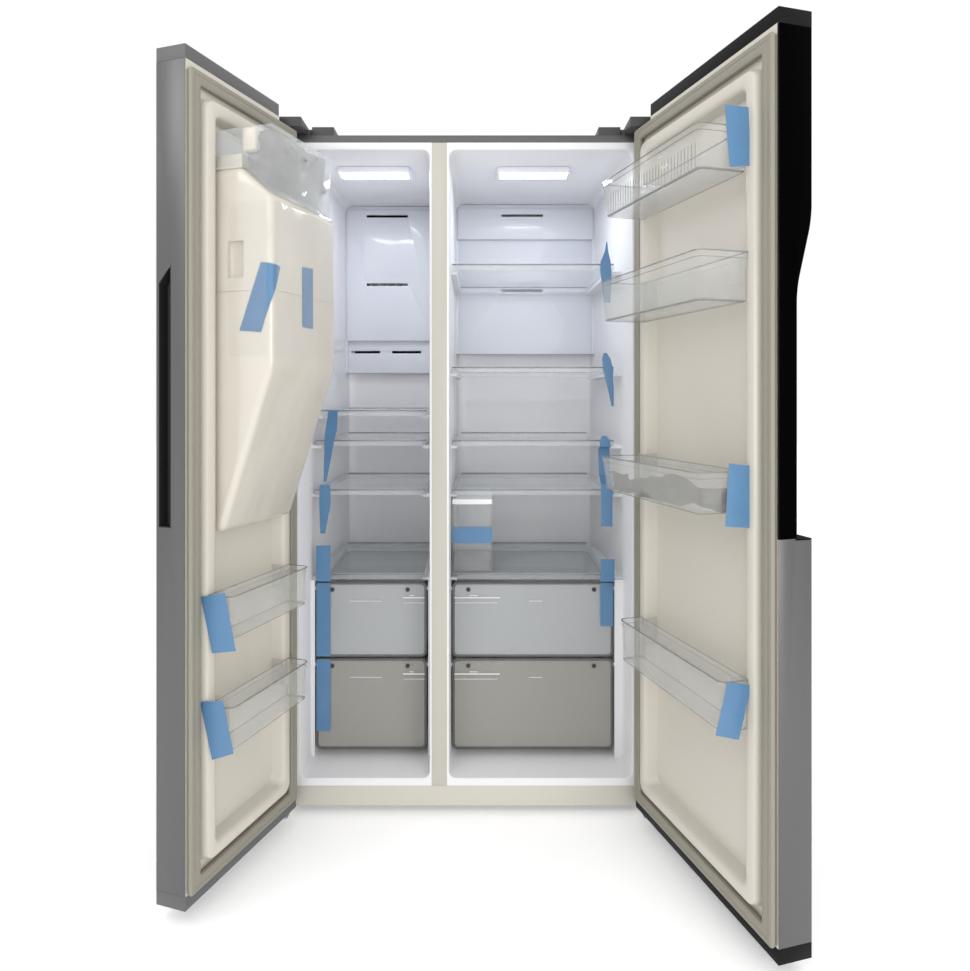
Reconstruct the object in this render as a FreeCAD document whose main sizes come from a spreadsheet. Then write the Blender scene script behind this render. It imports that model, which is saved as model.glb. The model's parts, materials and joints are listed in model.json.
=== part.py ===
"""Side by side refrigerator: cabinet with two compartments, shelves, drawers and two swinging doors.

Millimetres. The origin is on the floor, midway between the four levelling feet. +X is the user's
right, +Y points to the rear and +Z is up. Both doors are stored open. Every size lives in the
sheet; the names in PLACES are planes worked out from those sizes.
"""

import FreeCAD, Part
import Sketcher
import os
import re

SIZES = {
    # cabinet
    "cabinet_width": 912,
    "cabinet_depth": 620,
    "cabinet_top": 1668,
    "foot_height": 18,
    "sheet_steel": 1,
    "cut_past": 1,
    "foam_bottom": 45,
    "frame_return": 18,
    "side_wall": 48,
    "rear_wall": 60,
    "top_wall": 36,
    "cavity_floor": 87,
    "cavity_draft": 15,
    "mullion_centre": -66,
    "mullion_width": 49,
    "mullion_strip": 38,
    "liner_wall": 2.5,
    "flange_thickness": 1,
    "base_cover_top": 68,
    "base_cover_depth": 12,
    "machine_depth": 180,
    "machine_top": 300,
    "step_cover": 10,
    "step_top": 320,
    "machine_cover_gap": 2,
    "louvre_margin": 90,
    "louvre_land": 40,
    "louvre_base": 60,
    "louvre_pitch": 20,
    "louvre_height": 8,
    # power cord gland and water inlet on the machine cover
    "fitting_inset": 60,
    "fitting_height": 275,
    "gland_radius": 10,
    "gland_length": 12,
    "cord_hole_radius": 4.5,
    "inlet_radius": 7,
    "inlet_length": 16,
    "water_hole_radius": 3,
    # levelling feet and rollers
    "foot_inset_side": 46,
    "foot_inset_deep": 60,
    "foot_pad_radius": 17,
    "foot_pad_height": 10,
    "foot_stem_radius": 5,
    "roller_radius": 16,
    "roller_width": 22,
    "roller_lift": 2,
    "roller_spacing": 640,
    "roller_setback": 110,
    "axle_radius": 4,
    "axle_overhang": 8,
    "ear_side": 14,
    "ear_steel": 4,
    "ear_drop": 8,
    "running_gap": 0.05,
    "face_gap": 0.3,
    # shelves, each height is the middle of its front edge
    "shelf_setback": 90,
    "shelf_rear_gap": 60,
    "shelf_edge": 16,
    "shelf_frame": 12,
    "glass_thickness": 4,
    "glass_rebate": 5,
    "fridge_shelf_1": 1361,
    "fridge_shelf_2": 1095,
    "fridge_shelf_3": 906,
    "fridge_shelf_4": 779,
    "freezer_shelf_1": 983,
    "freezer_shelf_2": 906,
    "freezer_shelf_3": 779,
    "freezer_shelf_extra_setback": 22,
    "cover_height": 561,
    "shelf_side_gap": 3,
    "shelf_wall_margin": 16,
    "rail_thickness": 8,
    "rail_reach": 12,
    "rail_root": 60,
    "rail_setback": 14,
    "runner_gap": 1,
    # drawers
    "drawer_setback": 100,
    "drawer_wall": 3,
    "drawer_front": 4,
    "drawer_lip": 6,
    "drawer_lip_drop": 14,
    "drawer_corner": 26,
    "upper_drawer_bottom": 349,
    "upper_drawer_top": 544,
    "upper_drawer_gap": 12,
    "lower_drawer_bottom": 110,
    "lower_drawer_top": 346,
    "lower_drawer_gap": 26,
    # box on the crisper cover
    "snack_width": 104,
    "snack_depth": 250,
    "snack_top": 746,
    "snack_drawer_top": 627,
    "snack_wall": 3,
    "snack_lid_height": 14,
    "snack_lid_lip": 4,
    "snack_setback": 6,
    "snack_pull_width": 40,
    "snack_pull_reach": 5,
    "snack_pull_drop": 12,
    "snack_pull_thickness": 4,
    # air ducts, lamps and cold circuit
    "duct_side_gap": 4,
    "duct_wall": 3,
    "duct_top_gap": 14,
    "freezer_duct_depth": 37,
    "freezer_duct_bottom": 1203,
    "freezer_duct_skirt": 1101,
    "freezer_skirt_depth": 23,
    "fridge_hood_depth": 56,
    "fridge_hood_bottom": 1521,
    "fridge_duct_depth": 38,
    "fridge_duct_bottom": 1161,
    "freezer_slot_1_drop": 24,
    "freezer_slot_2_drop": 241,
    "freezer_slot_shift": 14,
    "fridge_slot_1_drop": 26,
    "fridge_slot_2_drop": 260,
    "fridge_slot_shift": 10,
    "skirt_slot_rise": 63,
    "skirt_slot_inset": 12,
    "skirt_slot_pitch": 130,
    "skirt_slot_length": 92,
    "slot_length": 130,
    "slot_height": 8,
    "lamp_length": 196,
    "lamp_depth": 84,
    "lamp_height": 16,
    "lamp_corner": 12,
    "freezer_lamp_shift": 2.25,
    "fridge_lamp_shift": -7.25,
    "lamp_setback": 125,
    "fan_radius": 42,
    "fan_hub": 14,
    "fan_width": 14,
    "blade_inset": 2,
    "blade_thickness": 2,
    "evaporator_inset": 20,
    "evaporator_depth": 26,
    "evaporator_base": 30,
    "evaporator_height": 220,
    "fin_thickness": 3,
    "coil_radius": 5,
    "coil_base": 55,
    "coil_pitch": 42,
    "evaporator_fan_rise": 330,
    "evaporator_fan_setback": 24,
    "evaporator_shaft_radius": 3,
    "evaporator_shaft_length": 28,
    "compressor_inset": 180,
    "compressor_radius": 68,
    "compressor_height": 165,
    "compressor_crown_inset": 16,
    "compressor_crown_rise": 12,
    "compressor_foot_side": 80,
    "compressor_foot_deep": 50,
    "compressor_foot_thickness": 4,
    "grommet_radius": 9,
    "grommet_height": 16,
    "grommet_inset": 13,
    "condenser_start": 60,
    "condenser_fin_pitch": 26,
    "condenser_side": 55,
    "condenser_height": 180,
    "condenser_pipe_base": 40,
    "condenser_pipe_rise": 50,
    "condenser_pipe_side": 36,
    "condenser_fan_rise": 80,
    "condenser_fan_reach": 64,
    "condenser_shaft_radius": 4,
    "condenser_shaft_length": 42,
    "fan_bracket_reach": 40,
    "fan_bracket_thickness": 4,
    "fan_bracket_height": 150,
    # doors, closed: measured from the hinge side edge and from the cabinet's front plane
    "door_gap": 4,
    "door_split_shift": 2,
    "freezer_door_open": 108.4,
    "fridge_door_open": 106,
    "door_bottom": 31,
    "door_overtop": 38,
    "door_thickness": 69,
    "door_standoff": 14,
    "cap_height": 28,
    "pivot_inset": 17.5,
    "pivot_reach": 36.6,
    "pin_radius": 5,
    "pin_depth": 22,
    "hinge_plate": 4,
    "hinge_half_width": 11,
    "hinge_reach": 60,
    "hinge_foot_reach": 80,
    "notch_across": 72,
    "notch_deep": 48,
    "notch_sink": 2,
    "seat_height": 22,
    "seat_margin": 4,
    "hinge_cover_height": 44,
    "hinge_cover_inset": 12,
    "hinge_cover_gap": 8,
    "hinge_cover_reach": 64,
    "hinge_room": 1,
    "hinge_tail_height": 23,
    "hinge_tail_start": 4,
    "hinge_tail_end": 58,
    "hinge_tail_inset": 2,
    "hinge_link_inset": 8,
    "hinge_link_height": 17,
    "gasket_hinge_side": 15,
    "gasket_free_side": 2,
    "gasket_width": 28,
    "gasket_bottom": 60,
    "gasket_top_gap": 6,
    "dike_hinge_side": 56,
    "dike_free_side": 37,
    "dike_width": 30,
    "dike_rise": 8,
    "dike_bottom": 104,
    "dike_top_gap": 16,
    "form_depth": 30,
    "recess_drop": 8,
    "bin_wall": 3,
    "bin_corner": 18,
    "bin_hinge_side": 66,
    # freezer door
    "grip_margin": 7,
    "grip_width": 26,
    "grip_depth": 24,
    "grip_bottom": 771,
    "grip_top": 1278,
    "grip_point": 34,
    "grip_wall": 2,
    "chute_hinge_side": 60,
    "chute_free_side": 76,
    "chute_reach": 129,
    "chute_toe_reach": 12,
    "chute_bottom": 750,
    "chute_knee": 1086,
    "chute_shoulder": 1424,
    "chute_back_reach": 57,
    "chute_top": 1486,
    "ice_bin_top": 1562,
    "ice_bin_gap": 8,
    "freezer_bin_reach": 65,
    "freezer_bin_free_side": 38,
    "freezer_bin_1_bottom": 549,
    "freezer_bin_2_bottom": 332,
    "freezer_bin_height": 86,
    "dispenser_shift": 2,
    "dispenser_width": 200,
    "dispenser_bottom": 1000,
    "dispenser_top": 1400,
    "dispenser_recess_top": 1322,
    "dispenser_depth": 60,
    "dispenser_wall": 4,
    "paddle_width": 44,
    "paddle_length": 190,
    "paddle_thickness": 4,
    "paddle_setback": 34,
    "paddle_pin_radius": 3,
    "paddle_pin_drop": 20,
    "paddle_ear_gap": 1,
    "paddle_ear_width": 4,
    "paddle_ear_reach": 8,
    "spout_radius": 6,
    "spout_length": 14,
    "tray_gap": 4,
    "tray_height": 12,
    "tray_floor": 4,
    "tray_slot_inset": 12,
    "tray_slot_pitch": 20,
    "tray_slot_width": 10,
    # fridge door
    "panel_bottom": 774,
    "panel_glass": 4,
    "scoop_depth": 31,
    "scoop_reach": 38,
    "scoop_turn": 1215,
    "scoop_top": 1339,
    "scoop_wall": 3,
    "fridge_bin_free_side": 54,
    "fridge_bin_reach": 113,
    "fridge_low_bin_reach": 65,
    "fridge_bin_1_bottom": 1433,
    "fridge_bin_1_height": 79,
    "fridge_bin_2_bottom": 1196,
    "fridge_bin_2_height": 91,
    "fridge_bin_3_bottom": 812,
    "fridge_bin_3_height": 78,
    "fridge_bin_4_bottom": 420,
    "fridge_bin_4_height": 93,
}

PLACES = {
    "front": "0 - cabinet_depth / 2",
    "rear": "cabinet_depth / 2",
    "side": "cabinet_width / 2",
    "freezer_left": "side_wall - side",
    "freezer_right": "mullion_centre - mullion_width / 2",
    "fridge_left": "mullion_centre + mullion_width / 2",
    "fridge_right": "side - side_wall",
    "cavity_rear": "rear - rear_wall",
    "cavity_top": "cabinet_top - top_wall",
    "machine_front": "rear - machine_depth",
    "step_setback": "cabinet_depth - machine_depth - step_cover",
    "foot_spacing_side": "cabinet_width - 2 * foot_inset_side",
    "foot_spacing_deep": "cabinet_depth - 2 * foot_inset_deep",
    "shelf_front": "front + shelf_setback",
    "shelf_rear": "cabinet_depth - rear_wall - shelf_rear_gap",
    "upper_drawer_rear": "shelf_rear - upper_drawer_gap",
    "lower_drawer_rear": "step_setback - lower_drawer_gap",
    "drawer_face": "front + drawer_setback",
    "freezer_shelf_left": "freezer_left + shelf_wall_margin",
    "freezer_shelf_right": "freezer_right - cavity_draft + shelf_side_gap / 2",
    "fridge_shelf_left": "fridge_left + shelf_side_gap",
    "fridge_shelf_right": "fridge_right - shelf_wall_margin - 2 * drawer_lip",
    "cover_top_face": "cover_height + shelf_edge / 2",
    "duct_top": "cavity_top - duct_top_gap",
    "freezer_duct_setback": "cabinet_depth - rear_wall - freezer_duct_depth",
    "freezer_skirt_setback": "cabinet_depth - rear_wall - freezer_skirt_depth",
    "fridge_hood_setback": "cabinet_depth - rear_wall - fridge_hood_depth",
    "fridge_duct_setback": "cabinet_depth - rear_wall - fridge_duct_depth",
    "freezer_lamp_centre": "(freezer_left + freezer_right) / 2 + freezer_lamp_shift",
    "fridge_lamp_centre": "(fridge_left + fridge_right) / 2 + fridge_lamp_shift",
    "door_split": "mullion_centre - door_split_shift",
    "freezer_door_width": "side + door_split - door_gap / 2",
    "fridge_door_width": "side - door_split - door_gap / 2",
    "door_top": "cabinet_top + door_overtop",
    "door_back": "0 - door_standoff",
    "door_face": "door_back - door_thickness",
    "cap_top": "door_top - cap_height",
    "cap_bottom": "door_bottom + cap_height",
    "notch_floor": "cabinet_top - notch_sink",
    "notch_front": "0 - door_standoff - notch_deep",
    "hinge_cover_top": "cabinet_top + hinge_cover_height",
    "gasket_top": "cabinet_top - gasket_top_gap",
    "dike_top": "cavity_top - dike_top_gap",
    "recess_face": "door_back - recess_drop",
    "chute_end": "freezer_door_width - chute_free_side",
    "freezer_bin_end": "freezer_door_width - freezer_bin_free_side",
    "fridge_bin_end": "fridge_door_width - fridge_bin_free_side",
    "dispenser_hinge_side": "freezer_door_width / 2 - dispenser_width / 2 + dispenser_shift",
    "dispenser_end": "dispenser_hinge_side + dispenser_width",
    "paddle_pin_height": "dispenser_recess_top - paddle_pin_drop",
    "paddle_pin_place": "door_face + paddle_setback",
}

doc = FreeCAD.newDocument("refrigerator")
sheet = doc.addObject("Spreadsheet::Sheet", "Sizes")
nodes = []


def fill_sheet():
    """Writes every size into the sheet, one row each, with its name as the cell's alias."""
    for row, (name, size) in enumerate(SIZES.items(), 1):
        sheet.set(f"A{row}", name.replace("_", " "))
        sheet.set(f"B{row}", str(size))
        sheet.setAlias(f"B{row}", name)
    doc.recompute()


def spelled(text):
    """Turns an expression in plain names into one that points at the sheet's cells."""

    def one(match):
        word = match.group()
        if word in SIZES:
            return f"Sizes.{word}"
        if word in PLACES:
            return f"({spelled(PLACES[word])})"
        return word

    return re.sub(r"[a-z][a-z_0-9]*", one, str(text))


def bind(item, prop, text):
    item.setExpression(prop, spelled(text))


# Solids

def box(x0, x1, y0, y1, z0, z1):
    """A block between three pairs of planes."""
    made = doc.addObject("Part::Box", "Block")
    sides = (("Length", "x", x0, x1), ("Width", "y", y0, y1), ("Height", "z", z0, z1))
    for size, letter, low, high in sides:
        bind(made, size, f"({high}) - ({low})")
        bind(made, f"Placement.Base.{letter}", low)
    return made


def rod(axis, x, y, z, radius, length):
    """A cylinder that starts at a point and runs along +X, +Y or +Z."""
    made = doc.addObject("Part::Cylinder", "Rod")
    turns = {"x": ((0, 1, 0), 90), "y": ((1, 0, 0), -90), "z": ((0, 0, 1), 0)}
    about, angle = turns[axis]
    made.Placement.Rotation = FreeCAD.Rotation(FreeCAD.Vector(*about), angle)
    bind(made, "Radius", radius)
    bind(made, "Height", length)
    for letter, place in zip("xyz", (x, y, z)):
        bind(made, f"Placement.Base.{letter}", place)
    return made


def tapered(left, right, draft_left, draft_right, y0, y1, z0, z1, grow):
    """A block that narrows towards the rear by a draft at each side, grown on every face but the front."""
    made = doc.addObject("Part::Wedge", "Tapered")
    bind(made, "Xmin", f"({left}) - ({grow})")
    bind(made, "Xmax", f"({right}) + ({grow})")
    bind(made, "X2min", f"({left}) + ({draft_left}) - ({grow})")
    bind(made, "X2max", f"({right}) - ({draft_right}) + ({grow})")
    bind(made, "Ymin", y0)
    bind(made, "Ymax", f"({y1}) + ({grow})")
    for low in ("Zmin", "Z2min"):
        bind(made, low, f"({z0}) - ({grow})")
    for high in ("Zmax", "Z2max"):
        bind(made, high, f"({z1}) + ({grow})")
    return made


def fuse(*solids):
    made = doc.addObject("Part::MultiFuse", "Joined")
    made.Shapes = list(solids)
    made.Refine = True
    return made


def cut(solid, *tools):
    made = doc.addObject("Part::Cut", "Trimmed")
    made.Base = solid
    made.Tool = tools[0] if len(tools) == 1 else fuse(*tools)
    made.Refine = True
    return made


def common(solid, other):
    made = doc.addObject("Part::Common", "Shared")
    made.Base = solid
    made.Tool = other
    return made


def prism(plane, outline, start, length):
    """A PartDesign body: a closed outline on one of its own planes, padded along that plane's normal."""
    body = doc.addObject("PartDesign::Body", "Prism")
    sketch = body.newObject("Sketcher::SketchObject", "Outline")
    support = [o for o in body.Origin.OriginFeatures if o.Role == f"{plane}_Plane"][0]
    sketch.AttachmentSupport = [(support, "")]
    sketch.MapMode = "FlatFace"
    count = len(outline)
    for i in range(count):
        begin = FreeCAD.Vector(100 * (i % 2), 100 * i, 0)
        end = FreeCAD.Vector(100 * ((i + 1) % 2), 100 * ((i + 1) % count), 0)
        sketch.addGeometry(Part.LineSegment(begin, end), False)
    for i in range(count):
        sketch.addConstraint(Sketcher.Constraint("Coincident", i, 2, (i + 1) % count, 1))
    for i, point in enumerate(outline):
        for kind, place in zip(("DistanceX", "DistanceY"), point):
            held = sketch.addConstraint(Sketcher.Constraint(kind, -1, 1, i, 1, 1.0 + i))
            bind(sketch, f"Constraints[{held}]", place)
    pad = body.newObject("PartDesign::Pad", "Pad")
    pad.Profile = sketch
    bind(pad, "Length", length)
    bind(body, f"Placement.Base.{'z' if plane == 'XY' else 'x'}", start)
    return body, pad


def rounded(x0, x1, y0, y1, z0, z1, radius, picked=None):
    """A block with rounded upright edges; picked chooses them by their place, all four otherwise."""
    outline = ((x0, y0), (x1, y0), (x1, y1), (x0, y1))
    body, pad = prism("XY", outline, z0, f"({z1}) - ({z0})")
    doc.recompute()
    middle = pad.Shape.BoundBox.Center
    names = []
    for number, edge in enumerate(pad.Shape.Edges, 1):
        upright = abs(edge.tangentAt(edge.FirstParameter).z) > 0.99
        if upright and (picked is None or picked(edge.CenterOfMass - middle)):
            names.append(f"Edge{number}")
    round_off = body.newObject("PartDesign::Fillet", "Rounded")
    round_off.Base = (pad, names)
    bind(round_off, "Radius", radius)
    return body


# Nodes

def node(name, *solids):
    """Closes a sub-part: one object with its own label, and a placement."""
    made = solids[0]
    if len(solids) > 1 or made.TypeId in ("Part::Box", "Part::Cylinder"):
        made = doc.addObject("Part::Compound", "Group")
        made.Links = list(solids)
    made.Label = name
    nodes.append(made)
    return made


def across(door, place):
    """The closed door's X for a distance from its hinge side edge."""
    return f"({place}) - side" if door == "freezer" else f"side - ({place})"


def door_box(door, u0, u1, v0, v1, z0, z1):
    """A block of the closed door: u from the hinge side edge, v from the cabinet's front plane."""
    ends = [across(door, u0), across(door, u1)]
    if door == "fridge":
        ends.reverse()
    return box(ends[0], ends[1], f"front + ({v0})", f"front + ({v1})", z0, z1)


def pivot(door):
    """The hinge axis in plan, as two expressions."""
    return f"({across(door, 'pivot_inset')})", "(front - pivot_reach)"


def hang(door, made):
    """Swings a finished door piece about the hinge axis, from closed to its stored angle."""
    x, y = pivot(door)
    angle = "(0 - freezer_door_open)" if door == "freezer" else "(fridge_door_open)"
    made.Placement.Rotation = FreeCAD.Rotation(FreeCAD.Vector(0, 0, 1), 10)
    bind(made, "Placement.Rotation.Angle", angle)
    made.Placement.Rotation.Axis = FreeCAD.Vector(0, 0, 1)
    bind(made, "Placement.Base.x", f"{x} - {x} * cos({angle}) + {y} * sin({angle})")
    bind(made, "Placement.Base.y", f"{y} - {x} * sin({angle}) - {y} * cos({angle})")


def door_node(door, name, *solids):
    made = node(name, *solids)
    hang(door, made)
    return made


# Cabinet

def cavity(room, grow):
    """The open space of one compartment, grown by the liner's wall or by nothing."""
    if room == "freezer":
        ends = ("freezer_left", "freezer_right", "cavity_draft", "cavity_draft")
    else:
        ends = ("fridge_left", "fridge_right", "0", "cavity_draft")
    space = tapered(*ends, "front", "cavity_rear", "cavity_floor", "cavity_top", grow)
    step = box(f"{ends[0]} - 2 * liner_wall", f"{ends[1]} + 2 * liner_wall",
               f"front + step_setback + {grow}", "rear", "0", f"step_top - {grow}")
    return cut(space, step)


def rails(left, right, y0, y1, top, reach):
    """A pair of ledges on a compartment's side walls; their roots run on into the walls."""
    low = f"({top}) - rail_thickness"
    return [
        box(f"({left}) - rail_root", f"({left}) + {reach}", y0, y1, low, top),
        box(f"({right}) - ({reach})", f"({right}) + rail_root", y0, y1, low, top),
    ]


def drawer_rails(left, right, rear_end, drawer_top):
    """Ledges that the drawer's side lips run on."""
    y0 = "drawer_face + drawer_front + 2 * runner_gap"
    top = f"{drawer_top} - drawer_lip_drop"
    return rails(left, right, y0, rear_end, top, "drawer_lip - runner_gap")


def liner(room, left, right, shelves):
    """A moulded compartment liner with its front flange, shelf ledges and drawer ledges."""
    ledges = []
    for height, setback in shelves:
        under = f"{height} - shelf_edge / 2"
        ledges += rails(left, right, f"front + {setback} + rail_setback", "front + shelf_rear", under,
                        "rail_reach")
    ledges += drawer_rails(left, right, "front + upper_drawer_rear", "upper_drawer_top")
    ledges += drawer_rails(left, right, "front + lower_drawer_rear", "lower_drawer_top")
    room_space = cavity(room, "0")
    open_space = cut(room_space, *ledges)
    outer = cavity(room, "liner_wall")
    if room == "freezer":
        edges = ("frame_return - side", "mullion_centre - mullion_strip / 2")
    else:
        edges = ("mullion_centre + mullion_strip / 2", "side - frame_return")
    flange = box(*edges, "front", "front + flange_thickness", "base_cover_top",
                 "cabinet_top - frame_return")
    trimmed = cut(flange, cavity(room, "0"))
    node(f"{room}_liner", fuse(cut(outer, open_space), trimmed))


def cabinet_shell():
    """Painted wrapper: top, both sides and the narrow return around the front."""
    outer = box("0 - side", "side", "front", "rear", "foot_height", "cabinet_top")
    inside = box("sheet_steel - side", "side - sheet_steel", "front + sheet_steel", "rear + cut_past",
                 "0", "cabinet_top - sheet_steel")
    mouth = box("frame_return - side", "side - frame_return", "front - cut_past",
                "front + 2 * sheet_steel", "0", "cabinet_top - frame_return")
    base = box("sheet_steel - side", "side - sheet_steel", "front - cut_past",
               "front + base_cover_depth", "0", "base_cover_top")
    node("outer_shell", cut(outer, inside, mouth, base))


def cabinet_foam():
    """Foamed core between wrapper and liners, with the machine compartment left out."""
    block = box("sheet_steel - side", "side - sheet_steel", "front + sheet_steel", "rear - sheet_steel",
                "foam_bottom", "cabinet_top - sheet_steel")
    machine = box("0 - side", "side", "machine_front", "rear + cut_past", "0", "machine_top")
    base = box("0 - side", "side", "front", "front + base_cover_depth", "0", "base_cover_top")
    node("cabinet_foam", cut(block, cavity("freezer", "liner_wall"), cavity("fridge", "liner_wall"),
                             machine, base))


def cabinet_back():
    """Rear sheet above the machine compartment, and the louvred cover below it with its fittings."""
    node("back_panel", box("sheet_steel - side", "side - sheet_steel", "rear - sheet_steel", "rear",
                           "machine_top", "cabinet_top - sheet_steel"))
    inner = "rear - 2 * sheet_steel"
    cover = box("sheet_steel - side + machine_cover_gap", "side - sheet_steel - machine_cover_gap",
                inner, "rear", "foam_bottom", "machine_top")
    columns, rows = 3, 7
    span = f"(cabinet_width - 2 * louvre_margin) / {columns}"
    slots = []
    for column in range(columns):
        x = f"louvre_margin - side + {column} * {span}"
        for row in range(rows):
            z = f"foam_bottom + louvre_base + {row} * louvre_pitch"
            slots.append(box(x, f"{x} + {span} - louvre_land", f"{inner} - cut_past", "rear + cut_past",
                             z, f"{z} + louvre_height"))
    gland_x, inlet_x = "side - fitting_inset", "side - 2 * fitting_inset"
    fittings = (
        (gland_x, "gland_radius", "gland_length", "cord_hole_radius"),
        (inlet_x, "inlet_radius", "inlet_length", "water_hole_radius"),
    )
    collars = [rod("y", x, inner, "fitting_height", radius, length) for x, radius, length, _ in fittings]
    holes = [rod("y", x, f"{inner} - cut_past", "fitting_height", hole, f"{length} + 2 * cut_past")
             for x, _, length, hole in fittings]
    node("machine_cover", cut(fuse(cut(cover, *slots), *collars), *holes))


def base_pan():
    """Steel floor of the cabinet with ears that carry the rear roller axle."""
    low = "foam_bottom - 2 * sheet_steel"
    pan = box("sheet_steel - side", "side - sheet_steel", "front + base_cover_depth", "rear",
              low, "foam_bottom")
    axle_y = "rear - roller_setback"
    axle_z = "roller_radius + roller_lift"
    pieces = [pan]
    for sign in ("0 - ", ""):
        for shift in ("roller_width", "0 - roller_width"):
            x = f"{sign}roller_spacing / 2 + ({shift})"
            pieces.append(box(f"{x} - ear_steel / 2", f"{x} + ear_steel / 2", f"{axle_y} - ear_side",
                              f"{axle_y} + ear_side", f"{axle_z} - ear_drop", f"{low} + sheet_steel"))
    bore = rod("x", "0 - side", axle_y, axle_z, "axle_radius + running_gap", "cabinet_width")
    node("base_pan", cut(fuse(*pieces), bore))
    axle = rod("x", "0 - roller_spacing / 2 - roller_width - axle_overhang", axle_y, axle_z,
               "axle_radius", "roller_spacing + 2 * roller_width + 2 * axle_overhang")
    wheels = [rod("x", f"{sign}roller_spacing / 2 - roller_width / 2", axle_y, axle_z,
                  "roller_radius", "roller_width") for sign in ("0 - ", "")]
    node("rear_rollers", fuse(axle, *wheels))


def levelling_feet():
    """Four screw feet under the base pan."""
    feet = []
    low = "foam_bottom - 2 * sheet_steel"
    for sx in ("0 - ", ""):
        for sy in ("0 - ", ""):
            x = f"{sx}foot_spacing_side / 2"
            y = f"{sy}foot_spacing_deep / 2"
            pad = rod("z", x, y, "0", "foot_pad_radius", "foot_pad_height")
            stem = rod("z", x, y, "0", "foot_stem_radius", low)
            feet.append(fuse(pad, stem))
    node("levelling_feet", *feet)


def front_trim():
    """The strip on the wall between the compartments and the cover below the doors."""
    node("mullion_cover", box("mullion_centre - mullion_strip / 2", "mullion_centre + mullion_strip / 2",
                              "front", "front + flange_thickness", "base_cover_top",
                              "cabinet_top - frame_return"))
    node("front_base_cover", box("sheet_steel - side", "side - sheet_steel", "front",
                                 "front + base_cover_depth", "foot_height", "base_cover_top"))


def sorted_sides(door, places):
    """Two distances from the hinge side edge as X values, lower one first."""
    ends = [across(door, place) for place in places]
    if door == "fridge":
        ends.reverse()
    return ends


def hinges():
    """Top plates with pins reaching down into the doors, lower plates with pins reaching up."""
    plates = []
    wide = "hinge_half_width"
    for door in ("freezer", "fridge"):
        x, y = pivot(door)
        top = box(f"{x} - {wide}", f"{x} + {wide}", f"{y} - {wide}", "front + hinge_reach",
                  "cabinet_top", "cabinet_top + hinge_plate")
        pin = rod("z", x, y, "cabinet_top - pin_depth", "pin_radius", "pin_depth + hinge_plate")
        low = box(f"{x} - {wide}", f"{x} + {wide}", f"{y} - {wide}", "front + hinge_foot_reach",
                  "foot_height - hinge_plate", "foot_height")
        collar = rod("z", x, y, "foot_height", "2 * pin_radius", "door_bottom - foot_height - face_gap")
        stud = rod("z", x, y, "foot_height", "pin_radius", "door_bottom - foot_height + pin_depth")
        plates += [fuse(top, pin), fuse(low, collar, stud)]
    node("hinge_plates", *plates)
    node("hinge_covers", *[hinge_cover(door) for door in ("freezer", "fridge")])


def hinge_cover(door):
    """A moulded hood over the top plate, with a lower tail towards the middle of the cabinet."""
    x, y = pivot(door)
    inner_side = "notch_across - hinge_cover_gap"
    tall = box(*sorted_sides(door, ["hinge_cover_inset", inner_side]),
               f"{y} - notch_deep / 2 + hinge_room", "front + hinge_cover_reach", "cabinet_top",
               "hinge_cover_top")
    tail_start = "notch_across + hinge_tail_start"
    tail = box(*sorted_sides(door, [tail_start, "notch_across + hinge_tail_end"]),
               "front + hinge_tail_inset", "front + hinge_cover_reach - hinge_tail_inset",
               "cabinet_top", "cabinet_top + hinge_tail_height")
    link = box(*sorted_sides(door, [f"{inner_side} - cut_past", f"{tail_start} + cut_past"]),
               "front + hinge_link_inset", "front + hinge_cover_reach - hinge_link_inset",
               "cabinet_top", "cabinet_top + hinge_link_height")
    half = "(hinge_half_width + hinge_room)"
    room = box(f"{x} - {half}", f"{x} + {half}", f"{y} - notch_deep",
               "front + hinge_reach + 2 * hinge_room", "cabinet_top - cut_past",
               "cabinet_top + hinge_plate + hinge_room")
    return cut(fuse(tall, link, tail), room)


# Compartments

def shelf(name, left, right, front_y, height, panes):
    """A moulded frame with a rebate, and the pane that lies in it."""
    low, high = f"({height}) - shelf_edge / 2", f"({height}) + shelf_edge / 2"
    rear_y = "front + shelf_rear"
    frame = box(left, right, front_y, rear_y, low, high)
    hole = box(f"({left}) + shelf_frame", f"({right}) - shelf_frame", f"({front_y}) + shelf_frame",
               f"({rear_y}) - shelf_frame", f"{low} - cut_past", f"{high} + cut_past")
    inset = "shelf_frame - glass_rebate"
    seat = f"({high}) - glass_thickness"
    rebate = box(f"({left}) + {inset}", f"({right}) - ({inset})", f"({front_y}) + {inset}",
                 f"({rear_y}) - ({inset})", seat, f"{high} + cut_past")
    gap = f"({inset}) + face_gap"
    panes.append(box(f"({left}) + {gap}", f"({right}) - ({gap})", f"({front_y}) + {gap}",
                     f"({rear_y}) - ({gap})", seat, high))
    node(name, cut(frame, hole, rebate))


def shelves():
    panes = []
    for i in (1, 2, 3):
        front_y = "shelf_front + freezer_shelf_extra_setback" if i == 1 else "shelf_front"
        shelf(f"freezer_shelf_{i}", "freezer_shelf_left", "freezer_shelf_right", front_y,
              f"freezer_shelf_{i}", panes)
    for i in (1, 2, 3, 4):
        shelf(f"fridge_shelf_{i}", "fridge_shelf_left", "fridge_shelf_right", "shelf_front",
              f"fridge_shelf_{i}", panes)
    shelf("freezer_drawer_cover", "freezer_shelf_left", "freezer_shelf_right", "shelf_front",
          "cover_height", panes)
    shelf("crisper_cover", "fridge_shelf_left", "fridge_shelf_right", "shelf_front",
          "cover_height", panes)
    node("shelf_glass", *panes)


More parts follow.
